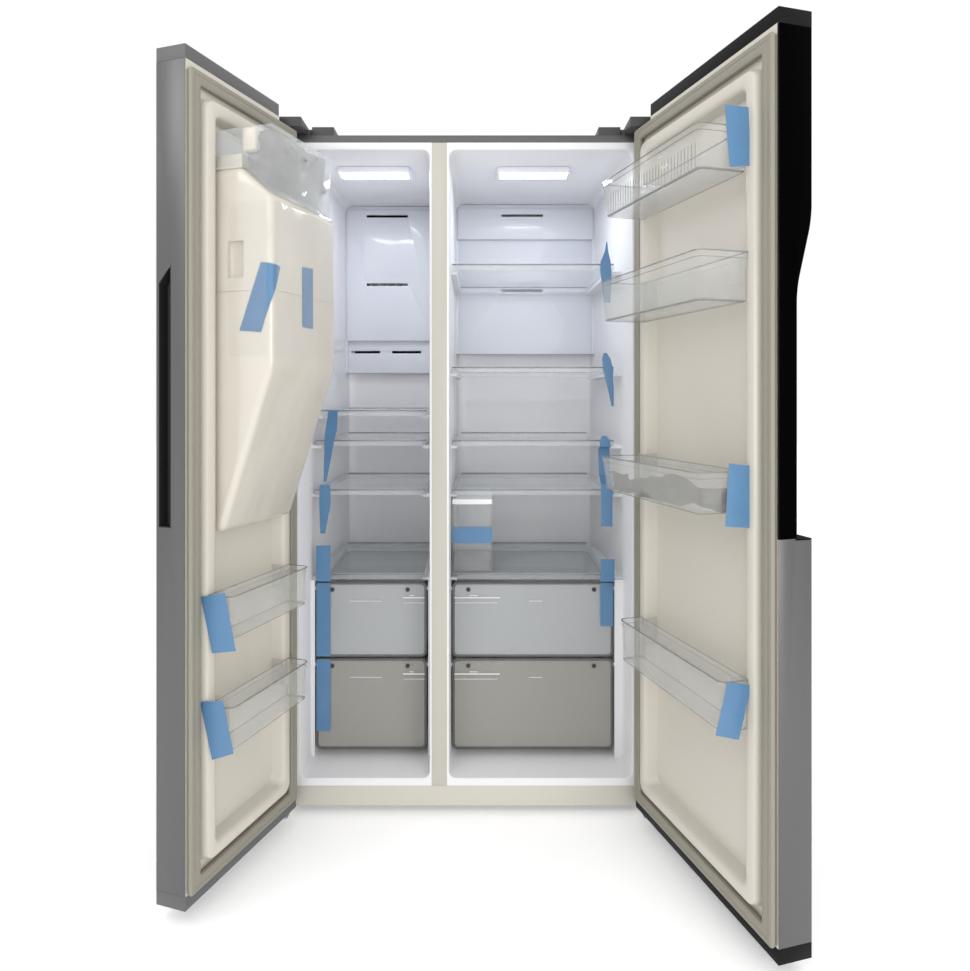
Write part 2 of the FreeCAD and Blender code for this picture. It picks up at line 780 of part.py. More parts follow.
def drawer(name, left, right, rear_end, bottom, top):
    """A clear drawer with a full width front and a lip along each side that runs on a ledge."""
    in_left, in_right = f"({left}) + drawer_lip", f"({right}) - drawer_lip"
    y0 = "drawer_face + drawer_front"
    wall = "drawer_wall"
    tub = rounded(in_left, in_right, y0, rear_end, bottom, top, "drawer_corner", lambda at: at.y > 0)
    room = rounded(f"{in_left} + {wall}", f"{in_right} - {wall}", y0, f"{rear_end} - {wall}",
                   f"({bottom}) + {wall}", f"({top}) + cut_past", f"drawer_corner - {wall}",
                   lambda at: at.y > 0)
    lip_low = f"({top}) - drawer_lip_drop"
    lips = [
        box(left, in_left, y0, f"{rear_end} - drawer_corner", lip_low, f"{lip_low} + drawer_wall"),
        box(in_right, right, y0, f"{rear_end} - drawer_corner", lip_low, f"{lip_low} + drawer_wall"),
    ]
    face = box(left, right, "drawer_face", y0, bottom, top)
    node(name, fuse(cut(tub, room), face, *lips))


def drawers():
    rooms = (
        ("freezer_drawer", "freezer_shelf_left", "freezer_shelf_right"),
        ("crisper_drawer", "fridge_shelf_left", "fridge_shelf_right"),
    )
    for name, left, right in rooms:
        drawer(f"{name}_upper", left, right, "front + upper_drawer_rear", "upper_drawer_bottom",
               "upper_drawer_top")
        drawer(f"{name}_lower", left, right, "front + lower_drawer_rear", "lower_drawer_bottom",
               "lower_drawer_top")


def snack_box():
    """A lidded clear case on the crisper cover with a small drawer in its lower half."""
    left = "fridge_shelf_left"
    right = "fridge_shelf_left + snack_width"
    y0, y1 = "shelf_front + snack_setback", "shelf_front + snack_setback + snack_depth"
    z0 = "cover_top_face"
    wall = "snack_wall"
    case = box(left, right, y0, y1, z0, "snack_top")
    upper = box(f"{left} + {wall}", f"{right} - {wall}", f"{y0} + {wall}", f"{y1} - {wall}",
                f"snack_drawer_top + {wall}", "snack_top + cut_past")
    lower = box(f"{left} + {wall}", f"{right} - {wall}", f"{y0} - cut_past", f"{y1} - {wall}",
                f"{z0} + {wall}", "snack_drawer_top")
    node("snack_box", cut(case, upper, lower))
    node("snack_box_lid", box(left, right, f"{y0} - snack_lid_lip", y1, "snack_top",
                              "snack_top + snack_lid_height"))
    gap = "face_gap"
    out = [f"{left} + {wall} + {gap}", f"{right} - {wall} - {gap}", y0, f"{y1} - 2 * {wall}",
           f"{z0} + {wall}", f"snack_drawer_top - 2 * {gap}"]
    tub = box(*out)
    room = box(f"{out[0]} + {wall}", f"{out[1]} - {wall}", f"{y0} + {wall}", f"{out[3]} - {wall}",
               f"{out[4]} + {wall}", "snack_drawer_top + cut_past")
    pull_top = "snack_drawer_top - snack_pull_drop + snack_pull_thickness"
    middle = f"{left} + snack_width / 2"
    pull = box(f"{middle} - snack_pull_width / 2", f"{middle} + snack_pull_width / 2",
               f"{y0} - snack_pull_reach", y0, "snack_drawer_top - snack_pull_drop", pull_top)
    node("snack_drawer", fuse(cut(tub, room), pull))


def air_slot(x0, length, y0, y1, height):
    """A level slot through a duct cover's front wall."""
    return box(x0, f"{x0} + {length}", y0, y1, height, f"{height} + slot_height")


def freezer_duct():
    """The moulded cover over the evaporator: hollow behind, slots near its top and in its skirt."""
    left = "freezer_left + cavity_draft + duct_side_gap"
    right = "freezer_right - cavity_draft - duct_side_gap"
    face, back = "front + freezer_duct_setback", "cavity_rear"
    cover = box(left, right, face, back, "freezer_duct_bottom", "duct_top")
    skirt_face = "front + freezer_skirt_setback"
    skirt = box(left, right, skirt_face, back, "freezer_duct_skirt", "freezer_duct_bottom")
    room = box(f"{left} + duct_wall", f"{right} - duct_wall", f"{face} + duct_wall",
               f"{back} + cut_past", "freezer_duct_bottom + duct_wall", "duct_top - duct_wall")
    start = "freezer_lamp_centre - freezer_slot_shift - slot_length / 2"
    slots = [air_slot(start, "slot_length", f"{face} - cut_past", f"{face} + 2 * duct_wall",
                      f"duct_top - freezer_slot_{i}_drop") for i in (1, 2)]
    slots += [air_slot(f"{left} + skirt_slot_inset + {i} * skirt_slot_pitch", "skirt_slot_length",
                       f"{skirt_face} - cut_past", f"{back} + cut_past",
                       "freezer_duct_skirt + skirt_slot_rise") for i in (0, 1)]
    node("freezer_duct_cover", cut(fuse(cover, skirt), room, *slots))


def fridge_duct():
    """The fridge's moulded rear cover: a hood at the top over a flatter panel, with two slots."""
    left = "fridge_left + duct_side_gap"
    right = "fridge_right - cavity_draft - duct_side_gap"
    back = "cavity_rear"
    hood_face, panel_face = "front + fridge_hood_setback", "front + fridge_duct_setback"
    hood = box(left, right, hood_face, back, "fridge_hood_bottom", "duct_top")
    panel = box(left, right, panel_face, back, "fridge_duct_bottom", "fridge_hood_bottom")
    room = box(f"{left} + duct_wall", f"{right} - duct_wall", f"{panel_face} + duct_wall",
               f"{back} + cut_past", "fridge_duct_bottom + duct_wall", "duct_top - duct_wall")
    start = "fridge_lamp_centre - fridge_slot_shift - slot_length / 2"
    slots = [air_slot(start, "slot_length", f"{face} - cut_past", f"{panel_face} + 2 * duct_wall",
                      f"duct_top - fridge_slot_{i}_drop")
             for i, face in ((1, hood_face), (2, panel_face))]
    node("fridge_duct_cover", cut(fuse(hood, panel), room, *slots))


def lamps():
    made = []
    for middle in ("freezer_lamp_centre", "fridge_lamp_centre"):
        made.append(rounded(f"{middle} - lamp_length / 2", f"{middle} + lamp_length / 2",
                            "front + lamp_setback", "front + lamp_setback + lamp_depth",
                            "cavity_top - lamp_height", "cavity_top", "lamp_corner"))
    node("lamp_lenses", *made)


def blades(axis, x, y, z, count):
    """A fan wheel: a hub on its shaft and flat blades set around it."""
    pieces = [rod(axis, x, y, z, "fan_hub", "fan_width")]
    depth = "fan_width - 2 * blade_inset"
    along_x = axis == "x"
    for i in range(count):
        blade = doc.addObject("Part::Box", "Blade")
        bind(blade, "Length", depth if along_x else "blade_thickness")
        bind(blade, "Width", "blade_thickness" if along_x else depth)
        bind(blade, "Height", "fan_radius")
        about = FreeCAD.Vector(1, 0, 0) if along_x else FreeCAD.Vector(0, 1, 0)
        blade.Placement.Rotation = FreeCAD.Rotation(about, 360 * i / count)
        bind(blade, "Placement.Base.x", f"{x} + blade_inset" if along_x else x)
        bind(blade, "Placement.Base.y", y if along_x else f"{y} + blade_inset")
        bind(blade, "Placement.Base.z", z)
        pieces.append(blade)
    return pieces


def evaporator():
    """Fins and tubes behind the freezer's cover, and the fan on its shaft above them."""
    left = "freezer_left + cavity_draft + duct_side_gap + evaporator_inset"
    right = "freezer_right - cavity_draft - duct_side_gap - evaporator_inset"
    count = 10
    pitch = f"(({right}) - ({left}) - fin_thickness) / {count - 1}"
    low = "freezer_duct_bottom + evaporator_base"
    fins = []
    for i in range(count):
        x = f"{left} + {i} * {pitch}"
        fins.append(box(x, f"{x} + fin_thickness", "cavity_rear - evaporator_depth", "cavity_rear",
                        low, f"{low} + evaporator_height"))
    tubes = [rod("x", left, "cavity_rear - evaporator_depth / 2",
                 f"freezer_duct_bottom + coil_base + {i} * coil_pitch", "coil_radius",
                 f"({right}) - ({left})") for i in range(5)]
    node("evaporator", fuse(*fins, *tubes))
    x, z = "freezer_lamp_centre", "freezer_duct_bottom + evaporator_fan_rise"
    shaft = rod("y", x, "cavity_rear - evaporator_shaft_length", z, "evaporator_shaft_radius",
                "evaporator_shaft_length")
    wheel = blades("y", x, "cavity_rear - evaporator_fan_setback", z, 6)
    node("evaporator_fan", fuse(shaft, *wheel))


def compressor():
    """The sealed can on a foot plate with four rubber grommets."""
    x, y = "0 - side + compressor_inset", "machine_front + machine_depth / 2"
    plate = "foam_bottom + grommet_height"
    can_base = f"{plate} + compressor_foot_thickness"
    can = rod("z", x, y, can_base, "compressor_radius", "compressor_height")
    crown = rod("z", x, y, can_base, "compressor_radius - compressor_crown_inset",
                "compressor_height + compressor_crown_rise")
    foot = box(f"{x} - compressor_foot_side", f"{x} + compressor_foot_side",
               f"{y} - compressor_foot_deep", f"{y} + compressor_foot_deep", plate, can_base)
    grommets = [rod("z", f"{x} + {sx} * (compressor_foot_side - grommet_inset)",
                    f"{y} + {sy} * (compressor_foot_deep - grommet_inset)", "foam_bottom",
                    "grommet_radius", "grommet_height") for sx in (-1, 1) for sy in (-1, 1)]
    node("compressor", fuse(can, crown, foot, *grommets))


def condenser():
    """Finned pipes on the cabinet's floor, with the fan on a bracket at their left end."""
    x, y, floor = "condenser_start", "machine_front + machine_depth / 2", "foam_bottom"
    y0, y1 = f"{y} - condenser_side", f"{y} + condenser_side"
    count = 9
    sheets = [box(f"{x} + {i} * condenser_fin_pitch", f"{x} + {i} * condenser_fin_pitch + fin_thickness",
                  y0, y1, floor, f"{floor} + condenser_height") for i in range(count)]
    length = f"{count - 1} * condenser_fin_pitch + fin_thickness"
    pipes = [rod("x", x, f"{y} + {i} * condenser_pipe_side",
                 f"{floor} + condenser_pipe_base + {k} * condenser_pipe_rise", "coil_radius", length)
             for i in (-1, 0, 1) for k in range(3)]
    bracket_x = f"{x} - fan_bracket_reach"
    bracket = box(bracket_x, f"{bracket_x} + fan_bracket_thickness", y0, y1, floor,
                  f"{floor} + fan_bracket_height")
    base = box(bracket_x, f"{x} + fin_thickness", y0, y1, floor, f"{floor} + fan_bracket_thickness")
    hub_z = f"{floor} + condenser_fan_rise"
    bore = rod("x", f"{bracket_x} - cut_past", y, hub_z, "condenser_shaft_radius + running_gap",
               "fan_bracket_thickness + 2 * cut_past")
    node("condenser", cut(fuse(base, bracket, *sheets, *pipes), bore))
    fan_x = f"{x} - condenser_fan_reach"
    shaft = rod("x", fan_x, y, hub_z, "condenser_shaft_radius", "condenser_shaft_length")
    node("condenser_fan", fuse(shaft, *blades("x", fan_x, y, hub_z, 5)))


# Doors

def door_form(door, wall, width):
    """The foam side of a door's inner moulding: slab, raised rim and sunk middle, inset by a wall."""
    slab = door_box(door, "sheet_steel", f"{width} - sheet_steel", "door_back - form_depth",
                    f"door_back - {wall}", "cap_bottom", "cap_top")
    low, high = "dike_hinge_side", f"{width} - dike_free_side"
    rim = door_box(door, f"{low} + {wall}", f"{high} - {wall}", "door_back - form_depth",
                   f"dike_rise - {wall}", f"dike_bottom + {wall}", f"dike_top - {wall}")
    sunk = door_box(door, f"{low} + dike_width - {wall}", f"{high} - dike_width + {wall}",
                    f"recess_face - {wall}", "dike_rise + cut_past",
                    f"dike_bottom + dike_width - {wall}", f"dike_top - dike_width + {wall}")
    form = cut(fuse(slab, rim), sunk)
    if door == "freezer":
        form = fuse(form, chute(wall))
    return form


def chute(wall):
    """The ice housing that bulges from the freezer door: a sloping front and a sloping top."""
    root = "front + door_back - form_depth + cut_past"
    outline = (
        (root, f"chute_bottom + {wall}"),
        (f"front + chute_toe_reach - {wall}", f"chute_bottom + {wall}"),
        (f"front + chute_reach - {wall}", f"chute_knee + {wall}"),
        (f"front + chute_reach - {wall}", f"chute_shoulder - {wall}"),
        (f"front + chute_back_reach - {wall}", f"chute_top - {wall}"),
        (root, f"chute_top - {wall}"),
    )
    start = across("freezer", f"chute_hinge_side + {wall}")
    body, _ = prism("YZ", outline, start, f"chute_end - chute_hinge_side - 2 * {wall}")
    return body


def hinge_notch(door):
    """The corner left open above the top hinge."""
    return door_box(door, "0 - cut_past", "notch_across", "notch_front", "door_back + cut_past",
                    "notch_floor", "door_top + cut_past")


def hinge_seat(door):
    """The block under the notch that holds the upper pin's bore."""
    return door_box(door, "sheet_steel", "2 * pivot_inset + seat_margin",
                    "door_face + panel_glass + 2 * sheet_steel", "door_back - liner_wall",
                    "notch_floor - seat_height", "notch_floor")


def door_caps(door, width):
    """Moulded ends of a door; the upper one steps down around the hinge."""
    top = door_box(door, "0", width, "door_face", "door_back", "cap_top", "door_top")
    bottom = door_box(door, "0", width, "door_face", "door_back", "door_bottom", "cap_bottom")
    x, y = pivot(door)
    bore_radius = "pin_radius + running_gap"
    upper_bore = rod("z", x, y, "cabinet_top - pin_depth - face_gap", bore_radius, "pin_depth + cut_past")
    lower_bore = rod("z", x, y, "door_bottom - cut_past", bore_radius, "pin_depth + cut_past + face_gap")
    seat = cut(hinge_seat(door), upper_bore)
    door_node(door, f"{door}_door_caps", cut(top, hinge_notch(door)), seat, cut(bottom, lower_bore))


def door_liner_and_foam(door, width, pockets):
    """The thin inner moulding, and the foam that fills the door behind it."""
    inner = door_form(door, "liner_wall", width)
    moulding = cut(door_form(door, "0", width), inner, hinge_notch(door), *pockets)
    door_node(door, f"{door}_door_liner", moulding)
    core = door_box(door, "sheet_steel", f"{width} - sheet_steel", "door_face + sheet_steel",
                    "door_back - form_depth", "cap_bottom", "cap_top")
    door_node(door, f"{door}_door_foam", cut(fuse(core, inner), hinge_notch(door),
                                             hinge_seat(door), *pockets))


def door_gasket(door, width):
    outer = door_box(door, "gasket_hinge_side", f"{width} - gasket_free_side", "door_back",
                     "0 - face_gap", "gasket_bottom", "gasket_top")
    inner = door_box(door, "gasket_hinge_side + gasket_width", f"{width} - gasket_free_side - gasket_width",
                     "door_back - cut_past", "cut_past", "gasket_bottom + gasket_width",
                     "gasket_top - gasket_width")
    door_node(door, f"{door}_door_gasket", cut(outer, inner))


def freezer_grip_outline(grow):
    """The finger slot in the door's free edge, with its pointed upper end."""
    near, far = "door_face + grip_margin", "door_face + grip_margin + grip_width"
    return (
        (f"front + {near} - {grow}", f"grip_bottom - {grow}"),
        (f"front + {far} + {grow}", f"grip_bottom - {grow}"),
        (f"front + {far} + {grow}", f"grip_top + {grow}"),
        (f"front + {near} - {grow}", f"grip_top + {grow} - grip_point"),
    )


def freezer_grip_block(grow, depth):
    start = across("freezer", f"freezer_door_width - ({depth})")
    body, _ = prism("YZ", freezer_grip_outline(grow), start, depth)
    return body


def freezer_door():
    door, width = "freezer", "freezer_door_width"
    grip_outer = freezer_grip_block("grip_wall", "grip_depth + grip_wall")
    grip_hole = prism("YZ", freezer_grip_outline("0"), across(door, f"{width} - grip_depth"),
                      "grip_depth + cut_past")[0]
    housing_depth = "dispenser_depth + dispenser_wall"
    housing = door_box(door, "dispenser_hinge_side", "dispenser_end", "door_face",
                       f"door_face + {housing_depth}", "dispenser_bottom", "dispenser_top")
    skin = door_box(door, "0", width, "door_face", "door_back", "cap_bottom", "cap_top")
    hollow = door_box(door, "sheet_steel", f"{width} - sheet_steel", "door_face + sheet_steel",
                      "door_back + cut_past", "0", "2 * door_top")
    door_node(door, "freezer_door_skin", cut(skin, hollow, hinge_notch(door), grip_outer, housing))
    door_liner_and_foam(door, width, [grip_outer, housing])
    door_caps(door, width)
    door_gasket(door, width)
    door_node(door, "freezer_grip", cut(grip_outer, grip_hole))
    dispenser(door)
    for i in (1, 2):
        door_bin(f"freezer_bin_{i}", door, "freezer_bin_end", "freezer_bin_reach",
                 f"freezer_bin_{i}_bottom", "freezer_bin_height")
    ice_bin(door)


def dispenser(door):
    """Outlet recess in the door's face, its control panel, the lever and the drip tray."""
    wall = "dispenser_wall"
    low, high = f"dispenser_hinge_side + {wall}", f"dispenser_end - {wall}"
    body = door_box(door, "dispenser_hinge_side", "dispenser_end", "door_face",
                    f"door_face + dispenser_depth + {wall}", "dispenser_bottom", "dispenser_top")
    recess = door_box(door, low, high, "door_face - cut_past", "door_face + dispenser_depth",
                      f"dispenser_bottom + {wall}", "dispenser_recess_top")
    middle = "dispenser_hinge_side + dispenser_width / 2"
    half = "paddle_width / 2 + paddle_ear_gap"
    ears = []
    for start in (f"{middle} + {half}", f"{middle} - ({half}) - paddle_ear_width"):
        ears.append(door_box(door, start, f"{start} + paddle_ear_width",
                             "paddle_pin_place - paddle_ear_reach", "paddle_pin_place + paddle_ear_reach",
                             "paddle_pin_height - paddle_ear_reach", "dispenser_recess_top"))
    pin_half = f"({half} + paddle_ear_width)"
    bore = rod("x", across(door, f"{middle} - {pin_half} - cut_past"), "front + paddle_pin_place",
               "paddle_pin_height", "paddle_pin_radius + running_gap", f"2 * {pin_half} + 2 * cut_past")
    spout = rod("z", across(door, middle), "front + paddle_pin_place - spout_length",
                "dispenser_recess_top - spout_length", "spout_radius", "spout_length")
    door_node(door, "dispenser_panel", fuse(cut(body, recess), cut(fuse(*ears), bore), spout))
    lever = door_box(door, f"{middle} - paddle_width / 2", f"{middle} + paddle_width / 2",
                     "paddle_pin_place - paddle_thickness / 2", "paddle_pin_place + paddle_thickness / 2",
                     "paddle_pin_height - paddle_length", "paddle_pin_height")
    pin = rod("x", across(door, f"{middle} - {pin_half}"), "front + paddle_pin_place",
              "paddle_pin_height", "paddle_pin_radius", f"2 * {pin_half}")
    door_node(door, "dispenser_paddle", fuse(lever, pin))
    tray_base = f"dispenser_bottom + {wall}"
    tray = door_box(door, f"{low} + tray_gap", f"{high} - tray_gap", "door_face + tray_gap",
                    "door_face + dispenser_depth - tray_gap", tray_base, f"{tray_base} + tray_height")
    slots = []
    for i in range(8):
        start = f"{low} + tray_gap + tray_slot_inset + {i} * tray_slot_pitch"
        slots.append(door_box(door, start, f"{start} + tray_slot_width",
                              "door_face + tray_gap + tray_floor",
                              "door_face + dispenser_depth - tray_gap - tray_floor",
                              f"{tray_base} + tray_floor", f"{tray_base} + tray_height + cut_past"))
    door_node(door, "dispenser_tray", cut(tray, *slots))


def door_bin(name, door, end, reach, bottom, height):
    """A clear bin against the door's raised rim, rounded at its outer corners."""
    sides = sorted_sides(door, ["bin_hinge_side", end])
    wall = "bin_wall"
    top = f"{bottom} + {height}"
    outer = rounded(*sides, "front + dike_rise", f"front + {reach}", bottom, top, "bin_corner",
                    lambda at: at.y > 0)
    inner = rounded(f"{sides[0]} + {wall}", f"{sides[1]} - {wall}", f"front + dike_rise + {wall}",
                    f"front + {reach} - {wall}", f"{bottom} + {wall}", f"{top} + cut_past",
                    f"bin_corner - {wall}", lambda at: at.y > 0)
    door_node(door, name, cut(outer, inner))


def ice_bin(door):
    """A clear bin whose floor follows the housing's sloping top."""

    def body(wall, top):
        outline = (
            (f"front + recess_face + ice_bin_gap + {wall}", f"chute_top + {wall}"),
            (f"front + chute_back_reach", f"chute_top + {wall}"),
            (f"front + chute_reach - {wall}", f"chute_shoulder + {wall}"),
            (f"front + chute_reach - {wall}", top),
            (f"front + recess_face + ice_bin_gap + {wall}", top),
        )
        start = across(door, f"dike_hinge_side + dike_width + {wall}")
        return prism("YZ", outline, start, f"chute_end - dike_hinge_side - dike_width - 2 * {wall}")[0]

    door_node(door, "ice_bin", cut(body("0", "ice_bin_top"), body("bin_wall", "ice_bin_top + cut_past")))


def scoop(grow, reach):
    """The hand scoop down the fridge door's free edge, running out to the full thickness above."""
    outside = "front + door_face - 2 * panel_glass"
    outline = (
        (outside, f"panel_bottom - {grow}"),
        (f"front + door_face + scoop_depth + {grow}", f"panel_bottom - {grow}"),
        (f"front + door_face + scoop_depth + {grow}", f"scoop_turn + {grow}"),
        (f"front + door_face + {grow}", f"scoop_top + {grow}"),
        (outside, f"scoop_top + {grow}"),
    )
    start = across("fridge", "fridge_door_width + cut_past")
    return prism("YZ", outline, start, f"{reach} + {grow} + cut_past")[0]


def fridge_door():
    door, width = "fridge", "fridge_door_width"
    split = "panel_bottom"
    lower = door_box(door, "0", width, "door_face", "door_back", "cap_bottom", split)
    upper = door_box(door, "0", f"{width} - panel_glass", "door_face + panel_glass", "door_back", split,
                     "cap_top")
    hollow_low = door_box(door, "sheet_steel", f"{width} - sheet_steel", "door_face + sheet_steel",
                          "door_back + cut_past", "0", split)
    hollow_up = door_box(door, "sheet_steel", f"{width} + cut_past",
                         "door_face + panel_glass + sheet_steel", "door_back + cut_past", split,
                         "2 * door_top")
    grip_space = scoop("scoop_wall", "scoop_reach")
    door_node(door, "fridge_door_skin", cut(fuse(lower, upper), hollow_low, hollow_up, hinge_notch(door),
                                            grip_space))
    glass = door_box(door, "0", width, "door_face", "door_back", split, "cap_top")
    behind = door_box(door, "0 - cut_past", f"{width} - panel_glass", "door_face + panel_glass",
                      "door_back + cut_past", "0", "2 * door_top")
    wall = common(door_box(door, "0", width, "door_face", "door_back", f"{split} - scoop_wall", "cap_top"),
                  grip_space)
    door_node(door, "fridge_door_panel", cut(fuse(cut(glass, behind), wall), scoop("0", "scoop_reach"),
                                             hinge_notch(door)))
    panel_space = door_box(door, "0", width, "door_face", "door_face + panel_glass + sheet_steel", split,
                           "door_top")
    edge_space = door_box(door, f"{width} - panel_glass", width, "door_face", "door_back + cut_past",
                          split, "door_top")
    door_liner_and_foam(door, width, [grip_space, panel_space, edge_space])
    door_caps(door, width)
    door_gasket(door, width)
    for i, reach in enumerate(("fridge_bin_reach", "fridge_bin_reach", "fridge_bin_reach",
                               "fridge_low_bin_reach"), 1):
        door_bin(f"fridge_bin_{i}", door, "fridge_bin_end", reach, f"fridge_bin_{i}_bottom",
                 f"fridge_bin_{i}_height")


def build():
    fill_sheet()
    cabinet_shell()
    cabinet_foam()
    cabinet_back()
    base_pan()
    levelling_feet()
    front_trim()
    hinges()
    fridge_heights = [(f"fridge_shelf_{i}", "shelf_setback") for i in (1, 2, 3, 4)]
    freezer_heights = [(f"freezer_shelf_{i}", "shelf_setback") for i in (1, 2, 3)]
    cover = [("cover_height", "shelf_setback")]
    liner("freezer", "freezer_shelf_left", "freezer_shelf_right", freezer_heights + cover)
    liner("fridge", "fridge_shelf_left", "fridge_shelf_right", fridge_heights + cover)
    shelves()
    drawers()
    snack_box()
    freezer_duct()
    fridge_duct()
    lamps()
    evaporator()
    compressor()
    condenser()
    freezer_door()
    fridge_door()
    doc.recompute()


def write_parts():
    """Refuses a failed or empty piece, then writes one file for each sub-part."""
    for item in doc.Objects:
        bad = {"Invalid", "Error"} & set(item.State)
        if bad:
            raise SystemExit(f"{item.Name} is {bad}")
    for made in nodes:
        if made.Shape.isNull() or not made.Shape.isValid() or not made.Shape.Solids:
            raise SystemExit(f"{made.Label} has no valid solid")
    os.makedirs("parts", exist_ok=True)
    for made in nodes:
        made.Shape.exportStep(f"parts/{made.Label}.step")
    print(len(nodes), "sub-parts")


build()
write_parts()
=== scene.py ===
"""Side by side refrigerator with both doors open: its looks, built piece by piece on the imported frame."""
import json
import math

import bmesh
import bpy
from mathutils import Matrix, Vector, noise

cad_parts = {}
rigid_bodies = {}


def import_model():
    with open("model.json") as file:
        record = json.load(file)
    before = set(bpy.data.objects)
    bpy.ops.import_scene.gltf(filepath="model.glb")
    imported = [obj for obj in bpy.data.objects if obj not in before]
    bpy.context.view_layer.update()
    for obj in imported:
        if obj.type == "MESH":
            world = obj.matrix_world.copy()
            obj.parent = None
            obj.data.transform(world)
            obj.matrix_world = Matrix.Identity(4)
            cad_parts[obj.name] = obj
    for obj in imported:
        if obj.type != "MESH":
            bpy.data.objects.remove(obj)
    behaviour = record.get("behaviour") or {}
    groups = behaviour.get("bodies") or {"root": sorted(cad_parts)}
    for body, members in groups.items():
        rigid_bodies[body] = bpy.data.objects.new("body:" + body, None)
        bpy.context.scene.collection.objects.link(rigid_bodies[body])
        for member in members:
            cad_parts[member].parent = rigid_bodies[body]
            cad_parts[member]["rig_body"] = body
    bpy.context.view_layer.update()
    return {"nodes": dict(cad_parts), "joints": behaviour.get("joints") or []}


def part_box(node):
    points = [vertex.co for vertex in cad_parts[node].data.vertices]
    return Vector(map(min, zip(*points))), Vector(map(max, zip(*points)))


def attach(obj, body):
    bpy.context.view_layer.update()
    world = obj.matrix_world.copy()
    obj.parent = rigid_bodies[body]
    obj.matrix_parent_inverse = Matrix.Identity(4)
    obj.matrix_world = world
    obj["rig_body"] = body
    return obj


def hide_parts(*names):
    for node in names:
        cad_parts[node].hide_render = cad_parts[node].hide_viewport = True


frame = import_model()
nodes = frame["nodes"]


# Viewpoint: level and straight in front of the open doors, at the height of the middle shelves. A
# small lens shift lowers the frame and keeps the uprights upright.

lens = bpy.data.cameras.new("Camera")
lens.lens = 27.326
lens.sensor_width = 36
lens.shift_x = 0.0040
lens.shift_y = -0.0901
camera = bpy.data.objects.new("Camera", lens)
camera.location = (0.0368, -2.1233, 1.0217)
camera.rotation_euler = (math.radians(90), 0, 0)
bpy.context.scene.collection.objects.link(camera)
bpy.context.scene.camera = camera


# Studio: a white floor that runs out into a white surround, one broad soft light over the camera
# and a weaker one at each side. Clear plastic parts overlap many deep, so light may pass many.

def soft_light(name, place, aim, size, power, colour=(1, 1, 1)):
    """A square area light at a place, turned to face a point."""
    lamp = bpy.data.lights.new(name, "AREA")
    lamp.size = size
    lamp.energy = power
    lamp.color = colour
    held = bpy.data.objects.new(name, lamp)
    held.location = place
    held.rotation_euler = (Vector(aim) - Vector(place)).to_track_quat("-Z", "Y").to_euler()
    held.visible_camera = False
    bpy.context.scene.collection.objects.link(held)
    return held


surround = bpy.data.worlds.new("Surround")
surround.use_nodes = True
surround.node_tree.nodes["Background"].inputs["Color"].default_value = (1, 1, 1, 1)
surround.node_tree.nodes["Background"].inputs["Strength"].default_value = 1.0
bpy.context.scene.world = surround
bpy.context.scene.view_settings.view_transform = "Standard"
bpy.context.scene.cycles.transparent_max_bounces = 48
soft_light("Front light", (-0.9, -3.4, 2.7), (0, 0, 0.8), 2.2, 17)
soft_light("Left light", (-1.7, -1.6, 2.5), (-0.55, -0.75, 1.6), 0.7, 4.5)
soft_light("Right light", (1.5, -3.4, 1.2), (-0.5, -0.5, 0.7), 1.4, 24)

floor_mesh = bpy.data.meshes.new("Floor")
reach = 14
floor_mesh.from_pydata([(-reach, -reach, 0), (reach, -reach, 0), (reach, reach, 0), (-reach, reach, 0)],
                       [], [(0, 1, 2, 3)])
floor = bpy.data.objects.new("Floor", floor_mesh)
bpy.context.scene.collection.objects.link(floor)


# Outer wrapper: one folded sheet over the top and down both sides, painted dark grey, with a narrow
# return round the front. Every finish below shares the same slow drift of tone and gloss.

